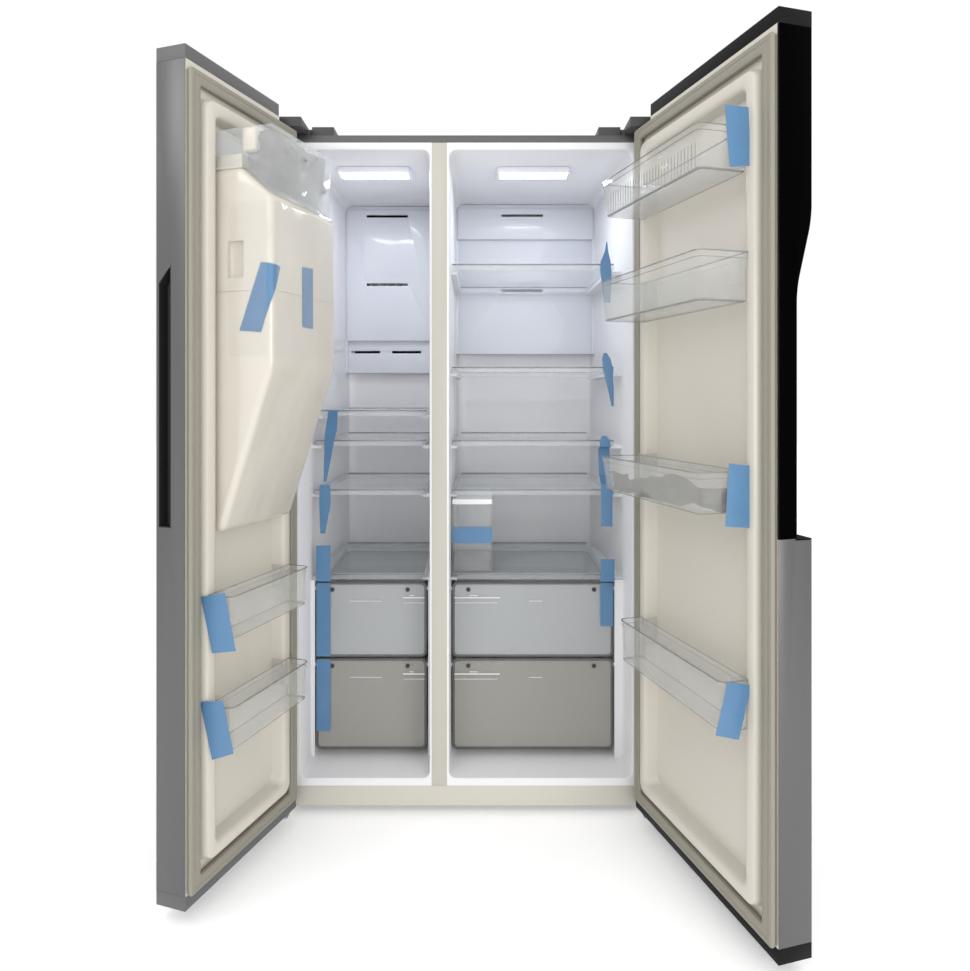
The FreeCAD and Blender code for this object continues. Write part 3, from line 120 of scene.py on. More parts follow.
def surface_drift():
    """Group: tone and gloss drift over a hand's width, and a fine grain, in object coordinates."""
    group = bpy.data.node_groups.new("Surface drift", "ShaderNodeTree")
    sockets = (("Colour", "NodeSocketColor", (1, 1, 1, 1)), ("Tone drift", "NodeSocketFloat", 0.04),
               ("Roughness", "NodeSocketFloat", 0.4), ("Gloss drift", "NodeSocketFloat", 0.06),
               ("Patch scale", "NodeSocketFloat", 3.0), ("Grain scale", "NodeSocketFloat", 900.0),
               ("Grain stretch", "NodeSocketVector", (1, 1, 1)))
    for name, kind, value in sockets:
        group.interface.new_socket(name, in_out="INPUT", socket_type=kind).default_value = value
    for name, kind in (("Colour", "NodeSocketColor"), ("Roughness", "NodeSocketFloat"),
                       ("Grain", "NodeSocketFloat")):
        group.interface.new_socket(name, in_out="OUTPUT", socket_type=kind)
    put = group.nodes.new("NodeGroupOutput")
    get = group.nodes.new("NodeGroupInput")
    place = group.nodes.new("ShaderNodeTexCoord")
    stretch = group.nodes.new("ShaderNodeVectorMath")
    stretch.operation = "MULTIPLY"
    patches = group.nodes.new("ShaderNodeTexNoise")
    grain = group.nodes.new("ShaderNodeTexNoise")
    grain.inputs["Detail"].default_value = 1
    link = group.links.new
    link(place.outputs["Object"], patches.inputs["Vector"])
    link(get.outputs["Patch scale"], patches.inputs["Scale"])
    link(place.outputs["Object"], stretch.inputs[0])
    link(get.outputs["Grain stretch"], stretch.inputs[1])
    link(stretch.outputs["Vector"], grain.inputs["Vector"])
    link(get.outputs["Grain scale"], grain.inputs["Scale"])

    def drift(source, amount):
        """The source plus or minus an amount, by the patches."""
        centred = group.nodes.new("ShaderNodeMath")
        centred.operation = "SUBTRACT"
        centred.inputs[1].default_value = 0.5
        link(patches.outputs["Fac"], centred.inputs[0])
        scaled = group.nodes.new("ShaderNodeMath")
        scaled.operation = "MULTIPLY"
        link(centred.outputs[0], scaled.inputs[0])
        link(amount, scaled.inputs[1])
        total = group.nodes.new("ShaderNodeMath")
        total.operation = "ADD"
        link(scaled.outputs[0], total.inputs[0])
        if source is None:
            total.inputs[1].default_value = 1
        else:
            link(source, total.inputs[1])
        return total.outputs[0]

    tinted = group.nodes.new("ShaderNodeVectorMath")
    tinted.operation = "SCALE"
    link(get.outputs["Colour"], tinted.inputs[0])
    link(drift(None, get.outputs["Tone drift"]), tinted.inputs["Scale"])
    link(tinted.outputs["Vector"], put.inputs["Colour"])
    link(drift(get.outputs["Roughness"], get.outputs["Gloss drift"]), put.inputs["Roughness"])
    link(grain.outputs["Fac"], put.inputs["Grain"])
    return group


drift_group = surface_drift()


def finish(name, colour, roughness, tone=0.05, gloss=0.08, patch=3.0, grain=900.0, stretch=(1, 1, 1),
           depth=0.00003, **constants):
    """A material with the shared drift; whatever is the same all over is set on the shader itself."""
    made = bpy.data.materials.new(name)
    made.use_nodes = True
    tree = made.node_tree
    shader = tree.nodes["Principled BSDF"]
    drift = tree.nodes.new("ShaderNodeGroup")
    drift.node_tree = drift_group
    values = {"Colour": (*colour, 1), "Tone drift": tone, "Roughness": roughness, "Gloss drift": gloss,
              "Patch scale": patch, "Grain scale": grain, "Grain stretch": stretch}
    for socket, value in values.items():
        drift.inputs[socket].default_value = value
    bump = tree.nodes.new("ShaderNodeBump")
    bump.inputs["Distance"].default_value = depth
    tree.links.new(drift.outputs["Colour"], shader.inputs["Base Color"])
    tree.links.new(drift.outputs["Roughness"], shader.inputs["Roughness"])
    tree.links.new(drift.outputs["Grain"], bump.inputs["Height"])
    tree.links.new(bump.outputs["Normal"], shader.inputs["Normal"])
    for socket, value in constants.items():
        shader.inputs[socket.replace("_", " ")].default_value = value
    return made


def piece(name, bm, materials, body, replaces=(), ease=0.0, steps=2, place=None):
    """Closes a bmesh into a finished piece: placed, edges eased, shaded, and riding on its body."""
    if place is not None:
        bm.transform(place)
    bmesh.ops.recalc_face_normals(bm, faces=bm.faces)
    if ease:
        sharp = [e for e in bm.edges if e.calc_face_angle(0) > math.radians(25)]
        bmesh.ops.bevel(bm, geom=sharp, offset=ease, segments=steps, profile=0.5, affect="EDGES",
                        clamp_overlap=True)
    mesh = bpy.data.meshes.new(name)
    bm.to_mesh(mesh)
    bm.free()
    mesh.shade_smooth()
    mesh.set_sharp_from_angle(angle=math.radians(35))
    for material in materials if isinstance(materials, tuple) else (materials,):
        mesh.materials.append(material)
    made = bpy.data.objects.new(name, mesh)
    bpy.context.scene.collection.objects.link(made)
    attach(made, body)
    if replaces:
        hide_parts(*replaces)
    return made


def copied(node):
    """A CAD node's shape as one merged mesh with whole flat faces."""
    bm = bmesh.new()
    bm.from_mesh(nodes[node].data)
    bmesh.ops.remove_doubles(bm, verts=bm.verts, dist=2e-6)
    bmesh.ops.dissolve_limit(bm, angle_limit=math.radians(0.5), verts=bm.verts, edges=bm.edges)
    return bm


def dressed(node, material, ease=0.001, steps=2):
    """A hard part as the CAD has it, with its edges eased, standing for its node."""
    return piece(f"{node}_finished", copied(node), material, nodes[node]["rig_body"], [node], ease,
                 steps)


painted = finish("Painted steel", (0.105, 0.105, 0.102), 0.42, tone=0.12, grain=1400, Metallic=0.3)
dressed("outer_shell", painted, ease=0.0004)
floor_mesh.materials.append(finish("Floor", (0.995, 0.995, 0.995), 0.7, tone=0.004, depth=0,
                                   Emission_Color=(1, 1, 1, 1), Emission_Strength=0.2))


# Back of the cabinet: bare zinc sheet with pressed stiffening beads, the louvred cover of the machine
# compartment with its cord gland and water inlet, and the pan under the cabinet.

def block(bm, low, high):
    """Adds a closed box between two corners."""
    made = bmesh.ops.create_cube(bm, size=1)["verts"]
    centre, size = (Vector(low) + Vector(high)) / 2, Vector(high) - Vector(low)
    bmesh.ops.scale(bm, vec=size, verts=made)
    bmesh.ops.translate(bm, vec=centre, verts=made)
    return made


zinc = finish("Zinc sheet", (0.50, 0.51, 0.52), 0.38, tone=0.25, gloss=0.2, patch=14, grain=200,
              Metallic=0.9)
dressed("machine_cover", zinc, ease=0.0004)
dressed("base_pan", zinc, ease=0.0004)
low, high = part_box("back_panel")
bm = copied("back_panel")
beads, bead_half, bead_margin, bead_rise = 7, 0.009, 0.09, 0.0016
for i in range(beads):
    x = low.x + (high.x - low.x) * (i + 1) / (beads + 1)
    block(bm, (x - bead_half, high.y - 0.0004, low.z + bead_margin),
          (x + bead_half, high.y + bead_rise, high.z - bead_margin))
piece("back_panel_pressed", bm, zinc, "cabinet", ["back_panel"], ease=0.0009)


# Compressor, condenser and both fans: black enamel can, thin aluminium fins on pipes, moulded wheels.
# The fins of the condenser and evaporator are plain stamped strips at an even pitch.

enamel = finish("Black enamel", (0.012, 0.012, 0.013), 0.28, grain=300, depth=0.0001)
aluminium = finish("Aluminium fins", (0.62, 0.63, 0.65), 0.32, tone=0.15, patch=20, Metallic=1.0)
fan_plastic = finish("Fan plastic", (0.05, 0.05, 0.055), 0.5)
rubber_wheel = finish("Roller", (0.03, 0.03, 0.03), 0.6)
foot_plastic = finish("Foot", (0.035, 0.035, 0.035), 0.55)
dressed("compressor", enamel, ease=0.004, steps=3)
dressed("evaporator", aluminium, ease=0.0004)
dressed("evaporator_fan", fan_plastic, ease=0.0006)
dressed("condenser_fan", fan_plastic, ease=0.0006)
dressed("rear_rollers", rubber_wheel, ease=0.0012)
dressed("levelling_feet", foot_plastic, ease=0.0015)


def repeated(name, count, low, high, step, material):
    """Geometry nodes: a row of equal blocks, the first between two corners, made into a plain mesh."""
    tree = bpy.data.node_groups.new(f"{name} row", "GeometryNodeTree")
    face = tree.interface
    face.new_socket("Geometry", in_out="OUTPUT", socket_type="NodeSocketGeometry")
    values = {"Count": count, "Size": Vector(high) - Vector(low),
              "Start": (Vector(low) + Vector(high)) / 2, "Step": Vector(step)}
    ids = {}
    for key, value in values.items():
        kind = "NodeSocketInt" if key == "Count" else "NodeSocketVector"
        ids[key] = face.new_socket(key, in_out="INPUT", socket_type=kind).identifier
    get, put = tree.nodes.new("NodeGroupInput"), tree.nodes.new("NodeGroupOutput")
    line = tree.nodes.new("GeometryNodeMeshLine")
    line.mode = "OFFSET"
    shape = tree.nodes.new("GeometryNodeMeshCube")
    spread = tree.nodes.new("GeometryNodeInstanceOnPoints")
    real = tree.nodes.new("GeometryNodeRealizeInstances")
    coat = tree.nodes.new("GeometryNodeSetMaterial")
    coat.inputs["Material"].default_value = material
    link = tree.links.new
    link(get.outputs["Count"], line.inputs["Count"])
    link(get.outputs["Start"], line.inputs["Start Location"])
    link(get.outputs["Step"], line.inputs["Offset"])
    link(get.outputs["Size"], shape.inputs["Size"])
    link(line.outputs["Mesh"], spread.inputs["Points"])
    link(shape.outputs["Mesh"], spread.inputs["Instance"])
    link(spread.outputs["Instances"], real.inputs["Geometry"])
    link(real.outputs["Geometry"], coat.inputs["Geometry"])
    link(coat.outputs["Geometry"], put.inputs["Geometry"])
    holder = bpy.data.objects.new(name, bpy.data.meshes.new(f"{name} seed"))
    bpy.context.scene.collection.objects.link(holder)
    modifier = holder.modifiers.new("Row", "NODES")
    modifier.node_group = tree
    for key, value in values.items():
        modifier[ids[key]] = value
    seen = holder.evaluated_get(bpy.context.evaluated_depsgraph_get())
    bm = bmesh.new()
    bm.from_mesh(bpy.data.meshes.new_from_object(seen))
    bpy.data.objects.remove(holder)
    return bm


def joined(bm, other):
    """Takes another bmesh's faces into this one and frees it."""
    mesh = bpy.data.meshes.new("Joined")
    other.to_mesh(mesh)
    other.free()
    bm.from_mesh(mesh)


low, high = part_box("condenser")
bm = copied("condenser")
first_fin, fin_count, fin_pitch, fin_thick = low.x + 0.046, 60, 0.0034, 0.0004
fins = repeated("Condenser fins", fin_count, (first_fin, low.y + 0.002, low.z + 0.02),
                (first_fin + fin_thick, high.y - 0.002, high.z - 0.002), (fin_pitch, 0, 0), aluminium)
joined(bm, fins)
piece("condenser_finned", bm, aluminium, "cabinet", ["condenser"])


# Liners: one vacuum-formed white sheet for each compartment, with soft corners, draft on its walls,
# a step over the machine compartment and a flat flange round the mouth. Ledges carry shelves.

def loop_xz(x0, x1, z0, z1, radius, y, steps=5):
    """A rounded rectangle in a plane of constant Y."""
    points = []
    corners = ((x1 - radius, z0 + radius, -90), (x1 - radius, z1 - radius, 0),
               (x0 + radius, z1 - radius, 90), (x0 + radius, z0 + radius, 180))
    for cx, cz, turn in corners:
        for i in range(steps + 1):
            angle = math.radians(turn + 90 * i / steps)
            points.append(Vector((cx + radius * math.cos(angle), y, cz + radius * math.sin(angle))))
    return points


def skin(bm, rings, first=False, last=False, index=None):
    """Joins rings of equal count with quads, and closes either end; index gives each band's material."""
    rows = [[bm.verts.new(p) for p in ring] for ring in rings]
    count = len(rows[0])
    for band, (low, high) in enumerate(zip(rows, rows[1:])):
        for i in range(count):
            face = bm.faces.new((low[i], low[(i + 1) % count], high[(i + 1) % count], high[i]))
            face.material_index = index[band] if index else 0
    if first:
        bm.faces.new(list(reversed(rows[0])))
    if last:
        face = bm.faces.new(rows[-1])
        face.material_index = index[-1] if index else 0
    return rows


moulded = finish("Moulded liner", (0.80, 0.80, 0.815), 0.33, tone=0.03, grain=500, depth=0.00004,
                 Coat_Weight=0.25, Coat_Roughness=0.15)
wall_margin, middle_margin, wall_draft = 0.030, 0.0055, 0.015
floor_margin, ceiling_margin, sheet = 0.019, 0.018, 0.0022
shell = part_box("outer_shell")
front_y = shell[0].y
step_low, step_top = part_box("freezer_drawer_lower")[1].y + 0.026, 0.320
ledge_drop, shelf_hold, drawer_hold = 0.008, 0.012, 0.005


def room_liner(room, shelf_nodes, drawer_nodes):
    """One compartment's sheet, with ledges under its shelves and drawers and bulges beside the drawers."""
    low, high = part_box(f"{room}_liner")
    rear = high.y - sheet
    near_left = wall_margin if room == "freezer" else middle_margin
    near_right = middle_margin if room == "freezer" else wall_margin
    left_draft = wall_draft if room == "freezer" else 0.0
    x0, x1 = low.x + near_left, high.x - near_right
    z0, z1 = low.z + floor_margin, high.z - ceiling_margin

    def ring(y, grow, radius, bottom):
        share = (y - front_y) / (rear - front_y)
        return loop_xz(x0 + left_draft * share - grow, x1 - wall_draft * share + grow, bottom - grow,
                       z1 + grow, radius, y)

    outer = loop_xz(low.x, high.x, low.z, high.z, 0.0005, front_y)
    rings = [outer, ring(front_y, 0.0045, 0.020, z0), ring(front_y + 0.0012, 0.0015, 0.018, z0),
             ring(front_y + 0.005, 0, 0.017, z0), ring(step_low - 0.014, 0, 0.020, z0),
             ring(step_low - 0.004, 0, 0.020, z0 + 0.006), ring(step_low, 0, 0.020, z0 + 0.018),
             ring(step_low, 0, 0.020, step_top - 0.014),
             ring(step_low + 0.004, 0, 0.020, step_top - 0.004),
             ring(step_low + 0.014, 0, 0.022, step_top), ring(rear - 0.024, 0, 0.026, step_top),
             ring(rear - 0.007, -0.007, 0.024, step_top), ring(rear, -0.024, 0.012, step_top)]
    bm = bmesh.new()
    skin(bm, rings, last=True)
    bmesh.ops.recalc_face_normals(bm, faces=bm.faces)
    back = max(bm.faces, key=lambda f: f.calc_center_median().y)
    if back.normal.y > 0:
        bmesh.ops.reverse_faces(bm, faces=bm.faces)
    bmesh.ops.solidify(bm, geom=list(bm.faces), thickness=sheet)
    for node in shelf_nodes + drawer_nodes:
        a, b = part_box(node)
        if node in shelf_nodes:
            hold, start, top = shelf_hold, a.y + 0.027, a.z
        else:
            hold, start, top = drawer_hold, a.y + 0.006, b.z - 0.014
        left, right = max(a.x - 0.034, x0 - 0.001), min(b.x + 0.034, x1 + 0.001)
        for ends in (sorted((a.x + hold, left)), sorted((b.x - hold, right))):
            block(bm, (ends[0], start, top - ledge_drop), (ends[1], b.y, top))
    upper, lower = (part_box(node) for node in drawer_nodes)
    bulge_front, bulge_rear, bulge_top = lower[0].y + 0.003, lower[0].y + 0.040, upper[1].z + 0.004
    for start, end in ((x0 - 0.001, lower[0].x - 0.0035), (lower[1].x + 0.0035, x1 + 0.001)):
        if end - start > 0.002:
            block(bm, (start, bulge_front, z0 - 0.001), (end, bulge_rear, bulge_top))
    return piece(f"{room}_liner_formed", bm, moulded, "cabinet", [f"{room}_liner"])


freezer_shelves = [f"freezer_shelf_{i}" for i in (1, 2, 3)] + ["freezer_drawer_cover"]
fridge_shelves = [f"fridge_shelf_{i}" for i in (1, 2, 3, 4)] + ["crisper_cover"]
drawer_levels = ("upper", "lower")
room_liner("freezer", freezer_shelves, [f"freezer_drawer_{level}" for level in drawer_levels])
room_liner("fridge", fridge_shelves, [f"crisper_drawer_{level}" for level in drawer_levels])
foam = finish("Foam", (0.86, 0.80, 0.60), 0.9, tone=0.1, patch=30, grain=200, depth=0.0006)
nodes["cabinet_foam"].data.materials.clear()
nodes["cabinet_foam"].data.materials.append(foam)


# Strip between the compartments and cover under the doors: thin moulded trims in one warm white that
# clip over the foam edge and the front of the base. The mullion strip's copy is painted darker and the
# base cover's lighter: painted shade and painted light.

trim = finish("Warm trim", (0.50, 0.48, 0.43), 0.36, tone=0.03, grain=600, Coat_Weight=0.2)
dressed("mullion_cover", trim, ease=0.0004)
# Base cover: the same warm white painted lighter than the mullion strip: painted light.
base_trim = finish("Base trim", (0.58, 0.555, 0.495), 0.4, tone=0.03, grain=600)
dressed("front_base_cover", base_trim, ease=0.0025, steps=3)


# Hinges: zinc plates screwed to the cabinet with their pins, and dark moulded hoods clipped over the
# upper pair.

dark = finish("Dark moulding", (0.045, 0.045, 0.047), 0.42, grain=700, depth=0.00008)
dressed("hinge_plates", zinc, ease=0.0006)
hood_shoulder, hood_squash = shell[1].z + 0.021, 0.12
bm = copied("hinge_covers")
for vert in bm.verts:
    if vert.co.z > hood_shoulder:
        vert.co.z = hood_shoulder + (vert.co.z - hood_shoulder) * hood_squash
piece("hinge_hoods", bm, dark, "cabinet", ["hinge_covers"], ease=0.004, steps=3)


# Air duct covers: glossy white mouldings on the rear walls with real slots and a shallow bead round
# their faces.

duct = finish("Duct moulding", (0.71, 0.73, 0.785), 0.25, tone=0.02, grain=500, Coat_Weight=0.3)
dressed("freezer_duct_cover", duct, ease=0.004, steps=3)
dressed("fridge_duct_cover", duct, ease=0.004, steps=3)
for room in ("freezer", "fridge"):
    low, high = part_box(f"{room}_duct_cover")
    bm = bmesh.new()
    lap, face, rear = 0.012, low.y + 0.005, high.y - 0.002
    for x0, x1 in ((low.x - lap, low.x + 0.002), (high.x - 0.002, high.x + lap)):
        block(bm, (x0, face, low.z), (x1, rear, high.z - 0.001))
    block(bm, (low.x - lap, face, high.z - 0.003), (high.x + lap, rear, high.z + lap))
    piece(f"{room}_duct_flange", bm, duct, "cabinet", ease=0.0006)


# Lamps: a rounded white diffuser clipped under each ceiling, with a bright strip where its row of small
# lights shows through. The strips glow, and a soft light under each one lights its compartment.

lens_white = finish("Lamp lens", (0.80, 0.82, 0.88), 0.3, tone=0.01)
glow = finish("Lamp strip", (0.95, 0.97, 1.0), 0.3, tone=0.01, Emission_Color=(0.95, 0.97, 1.0, 1),
              Emission_Strength=4.0)
dressed("lamp_lenses", lens_white, ease=0.004, steps=3)
low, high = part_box("lamp_lenses")
lamp_half, strip_half, lamp_colour = 0.098, 0.090, (0.84, 0.88, 1.0)
lamps = (("freezer_lamp", low.x + lamp_half, 0.85), ("fridge_lamp", high.x - lamp_half, 1.0))
for name, x, power in lamps:
    bm = bmesh.new()
    block(bm, (x - strip_half, low.y + 0.004, low.z - 0.0012),
          (x + strip_half, low.y + 0.058, low.z + 0.001))
    piece(f"{name}_strip", bm, glow, "cabinet", ease=0.0009)
    middle = (low.y + high.y) / 2
    lamp = soft_light(name, (x, middle, low.z - 0.004), (x, middle, 0), 0.19, power, lamp_colour)
    lamp.data.shape = "RECTANGLE"
    lamp.data.size_y = 0.08


# Shelves: a pane of toughened glass lies in a clear moulded frame with a bright strip along its
# front edge. Glass and clear plastic let most light through and catch it at grazing angles.

def clear(name, colour, facing, grazing, roughness=0.08, blend=0.35, **constants):
    """A see-through material whose body shows more where it is seen edge on."""
    made = finish(name, colour, roughness, tone=0.04, gloss=0.04, grain=150, depth=0.00002, **constants)
    tree = made.node_tree
    edge = tree.nodes.new("ShaderNodeLayerWeight")
    edge.inputs["Blend"].default_value = blend
    spread = tree.nodes.new("ShaderNodeMapRange")
    spread.inputs["To Min"].default_value = facing
    spread.inputs["To Max"].default_value = grazing
    tree.links.new(edge.outputs["Facing"], spread.inputs["Value"])
    tree.links.new(spread.outputs["Result"], tree.nodes["Principled BSDF"].inputs["Alpha"])
    return made


glass = clear("Shelf glass", (0.72, 0.78, 0.78), 0.05, 0.30, roughness=0.03)
shelf_frame = clear("Clear shelf frame", (0.78, 0.80, 0.83), 0.17, 0.50, roughness=0.14)
shelf_line = finish("Shelf edge strip", (0.22, 0.225, 0.23), 0.25, Metallic=0.4)
dressed("shelf_glass", glass, ease=0.0008)
for node in freezer_shelves + fridge_shelves:
    dressed(node, shelf_frame, ease=0.0015)
    low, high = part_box(node)
    bm = bmesh.new()
    block(bm, (low.x + 0.001, low.y - 0.0006, high.z - 0.0042),
          (high.x - 0.001, low.y + 0.002, high.z - 0.001))
    block(bm, (low.x + 0.012, high.y - 0.006, high.z - 0.003),
          (high.x - 0.012, high.y - 0.001, high.z + 0.0006))
    piece(f"{node}_strips", bm, shelf_line, "cabinet", ease=0.0006)


# Drawers: smoke-clear tubs with full width fronts. Each front has a thick rounded border that reads
# dark where it is seen edge on, a thinner middle and short bright white strips near its top: painted
# highlights.

upper_drawer_front = clear("Drawer front", (0.61, 0.63, 0.645), 0.40, 0.75, roughness=0.10)
# The lower drawers' fronts are the same smoke-clear plastic, painted darker and warmer: painted shade.
lower_drawer_painted_shade = clear("Lower drawer front painted shade", (0.49, 0.475, 0.44), 0.42, 0.75, roughness=0.10)
drawer_edge = clear("Drawer border", (0.10, 0.10, 0.10), 0.60, 0.95, roughness=0.15)
# Bright white strips on the drawer fronts: painted highlights where a finger ledge would catch the light.
drawer_painted_highlight = clear("Drawer painted highlight", (0.97, 0.98, 0.98), 0.75, 0.98, roughness=0.1)
stop_black = finish("Drawer stop", (0.03, 0.03, 0.03), 0.6)
stop_radius, stop_taper, stop_length = 0.0065, 0.001, 0.014


def loop_xy(x0, x1, y0, y1, z, near, far, steps=4):
    """A rectangle in a level plane, its corners rounded by one radius at low Y and another at high Y."""
    points = []
    corners = ((x1 - near, y0 + near, -90, near), (x1 - far, y1 - far, 0, far),
               (x0 + far, y1 - far, 90, far), (x0 + near, y0 + near, 180, near))
    for cx, cy, turn, radius in corners:
        for i in range(steps + 1):
            angle = math.radians(turn + 90 * i / steps)
            points.append(Vector((cx + radius * math.cos(angle), cy + radius * math.sin(angle), z)))
    return points


def coated(verts, index):
    """Gives every face on these corners one of the piece's materials."""
    for face in {f for v in verts for f in v.link_faces}:
        face.material_index = index


def drawer(node):
    """A front, a tub behind it, its side runners, bright strips of painted highlight near its top, and the
    stops.
    """
    low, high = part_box(node)
    face_depth, border, lip = 0.004, 0.0055, 0.006
    bm = bmesh.new()
    levels = ((low.y + face_depth, 0.0, 0.014), (low.y + 0.0012, 0.0, 0.014), (low.y, 0.0014, 0.0126),
              (low.y, border, 0.010), (low.y + 0.0014, border + 0.0012, 0.009))
    rings = [loop_xz(low.x + i, high.x - i, low.z + i, high.z - i, r, y) for y, i, r in levels]
    skin(bm, rings, first=True, last=True, index=(1, 1, 1, 1, 0))
    x0, x1, y0, y1 = low.x + lip, high.x - lip, low.y + face_depth, high.y
    wall, foot_in = 0.003, 0.004
    tub = [(foot_in, low.z), (0.0012, low.z + 0.003), (0, high.z - 0.012), (0, high.z - 0.001),
           (0.001, high.z), (wall - 0.001, high.z), (wall, high.z - 0.001), (wall + 0.001, low.z + 0.005),
           (wall + foot_in, low.z + wall)]
    rings = [loop_xy(x0 + i, x1 - i, y0 + 0.0002, y1 - i, z, 0.002, 0.024 - i / 2) for i, z in tub]
    skin(bm, rings, first=True, last=True, index=(0, 0, 1, 1, 1, 1, 0, 0, 0))
    for side in (-1, 1):
        edge = low.x if side < 0 else high.x
        inner = edge - side * lip
        block(bm, (min(edge, inner), y0, high.z - 0.014), (max(edge, inner), y1 - 0.03, high.z - 0.011))
    inward = 1 if high.x > 0 else -1
    near = low.x if inward > 0 else high.x
    top_line = high.z - 0.042
    # Short raised strips in bright white near the top of the front: painted highlights.
    for start, run, drop, thick in ((0.006, 0.118, 0, 0.0026), (0.006, 0.112, 0.0125, 0.0011),
                                    (0.045, 0.022, -0.006, 0.0016), (0.200, 0.034, 0.008, 0.0012)):
        end = (start + run) * (1 if inward > 0 else 0.5)
        x0, x1 = sorted((near + inward * start, near + inward * end))
        foot = top_line - drop
        coated(block(bm, (x0, low.y - 0.0006, foot), (x1, low.y + 0.002, foot + thick)), 2)
    for x in (low.x + 0.042, high.x - 0.050):
        lying = Matrix.Rotation(math.radians(90), 4, "X")
        stop = bmesh.ops.create_cone(bm, cap_ends=True, segments=20, radius1=stop_radius,
                                     radius2=stop_radius - stop_taper, depth=stop_length,
                                     matrix=Matrix.Translation((x, low.y + 0.0064, high.z - 0.020)) @ lying)
        coated(stop["verts"], 3)
    # Lower drawers take the copy painted darker and warmer: painted shade.
    middle = upper_drawer_front if node.endswith("upper") else lower_drawer_painted_shade
    piece(f"{node}_moulded", bm, (middle, drawer_edge, drawer_painted_highlight, stop_black), node, [node])


for room in ("freezer_drawer", "crisper_drawer"):
    for level in drawer_levels:
        drawer(f"{room}_{level}")


# Small case on the crisper cover: clear body, white lid, clear drawer with a pull, and a blue band
# of packing tape that holds the drawer shut in transit.

clear_part = clear("Clear moulding", (0.70, 0.73, 0.74), 0.12, 0.62, roughness=0.07)
clear_rim = clear("Clear rim", (0.42, 0.43, 0.44), 0.30, 0.80, roughness=0.1)
white_lid = finish("White lid", (0.82, 0.82, 0.81), 0.3)
dressed("snack_box", clear_part, ease=0.0012)
dressed("snack_drawer", clear_rim, ease=0.001)
dressed("snack_box_lid", white_lid, ease=0.003, steps=3)


# Doors: everything on a door is drawn on the closed door, with u from its hinge edge, v from the
# cabinet's front plane and z up, and then swung open about the hinge.

def hung(door):
    """The transform from a door's own u, v, z to its stored open place."""
    joint = next(j for j in frame["joints"] if j["name"] == f"{door}_door_hinge")
    angle = math.radians(-joint["axis"][2] * joint["range_deg"][0])
    pin = Vector((joint["pos_m"][0], joint["pos_m"][1], 0))
    swing = Matrix.Translation(pin) @ Matrix.Rotation(angle, 4, "Z") @ Matrix.Translation(-pin)
    facing = 1 if door == "freezer" else -1
    corner = Matrix.Translation((shell[0].x * facing, front_y, 0))
    return swing @ corner @ Matrix.Diagonal((facing, 1, 1, 1))


def span(door, node):
    """A door node's lowest and highest u, v, z."""
    back = hung(door).inverted()
    points = [back @ v.co for v in nodes[node].data.vertices]
    return (Vector(map(min, *points)), Vector(map(max, *points)))


door_cream = finish("Door moulding", (0.60, 0.565, 0.495), 0.30, tone=0.04, grain=500, depth=0.00004,
                    Coat_Weight=0.25, Coat_Roughness=0.12)
door_steel = finish("Brushed door steel", (0.138, 0.138, 0.139), 0.38, tone=0.06, gloss=0.1, patch=1.5,
                    grain=700, stretch=(1, 1, 0.01), depth=0.00002, Metallic=0.85)
cap_grey = finish("Cap moulding", (0.11, 0.11, 0.113), 0.5)
cap_black = finish("Black cap moulding", (0.004, 0.004, 0.004), 0.5, Specular_IOR_Level=0.15)
for door, cap in (("freezer", cap_grey), ("fridge", cap_black)):
    dressed(f"{door}_door_skin", door_steel, ease=0.0008)
    dressed(f"{door}_door_caps", cap, ease=0.0015)


# Inner door mouldings: a flat margin that the seal clips to, a raised rim that stands inside the
# cabinet when the door shuts, and a sunk middle. The freezer's also carries the ice housing.

def loop_uz(low, high, inset, v, radius, steps=5):
    """A rounded rectangle at one v, set in from two corners."""
    return loop_xz(low.x + inset, high.x - inset, low.z + inset, high.z - inset, radius, v, steps)


door_width = {door: span(door, f"{door}_door_skin")[1].x for door in ("freezer", "fridge")}
seal_face, rim_face, sunk_face = -0.014, 0.008, -0.022
rim_width, notch_across, notch_floor = 0.030, 0.072, shell[1].z - 0.002
foam_face, dispenser_bay = -0.0305, ((0.094, -0.1, 0.999), (0.296, -0.0183, 1.401))


def carved(bm, tools):
    """A bmesh with boxes cut out of it; bmesh has no boolean of its own, so a modifier does it."""
    held = []
    for source in (bm, *tools):
        mesh = bpy.data.meshes.new("Carving")
        bmesh.ops.recalc_face_normals(source, faces=source.faces)
        source.to_mesh(mesh)
        source.free()
        made = bpy.data.objects.new("Carving", mesh)
        bpy.context.scene.collection.objects.link(made)
        held.append(made)
    for tool in held[1:]:
        cutter = held[0].modifiers.new("Cut", "BOOLEAN")
        cutter.object = tool
        cutter.operation = "DIFFERENCE"
        cutter.solver = "EXACT"
    seen = held[0].evaluated_get(bpy.context.evaluated_depsgraph_get())
    out = bmesh.new()
    out.from_mesh(bpy.data.meshes.new_from_object(seen))
    for made in held:
        bpy.data.objects.remove(made)
    return out


def box_mesh(low, high, ease=0.0, steps=3):
    """A box on its own, with eased edges."""
    bm = bmesh.new()
    block(bm, low, high)
    if ease:
        bmesh.ops.bevel(bm, geom=bm.edges[:], offset=ease, segments=steps, profile=0.5, affect="EDGES")
    return bm


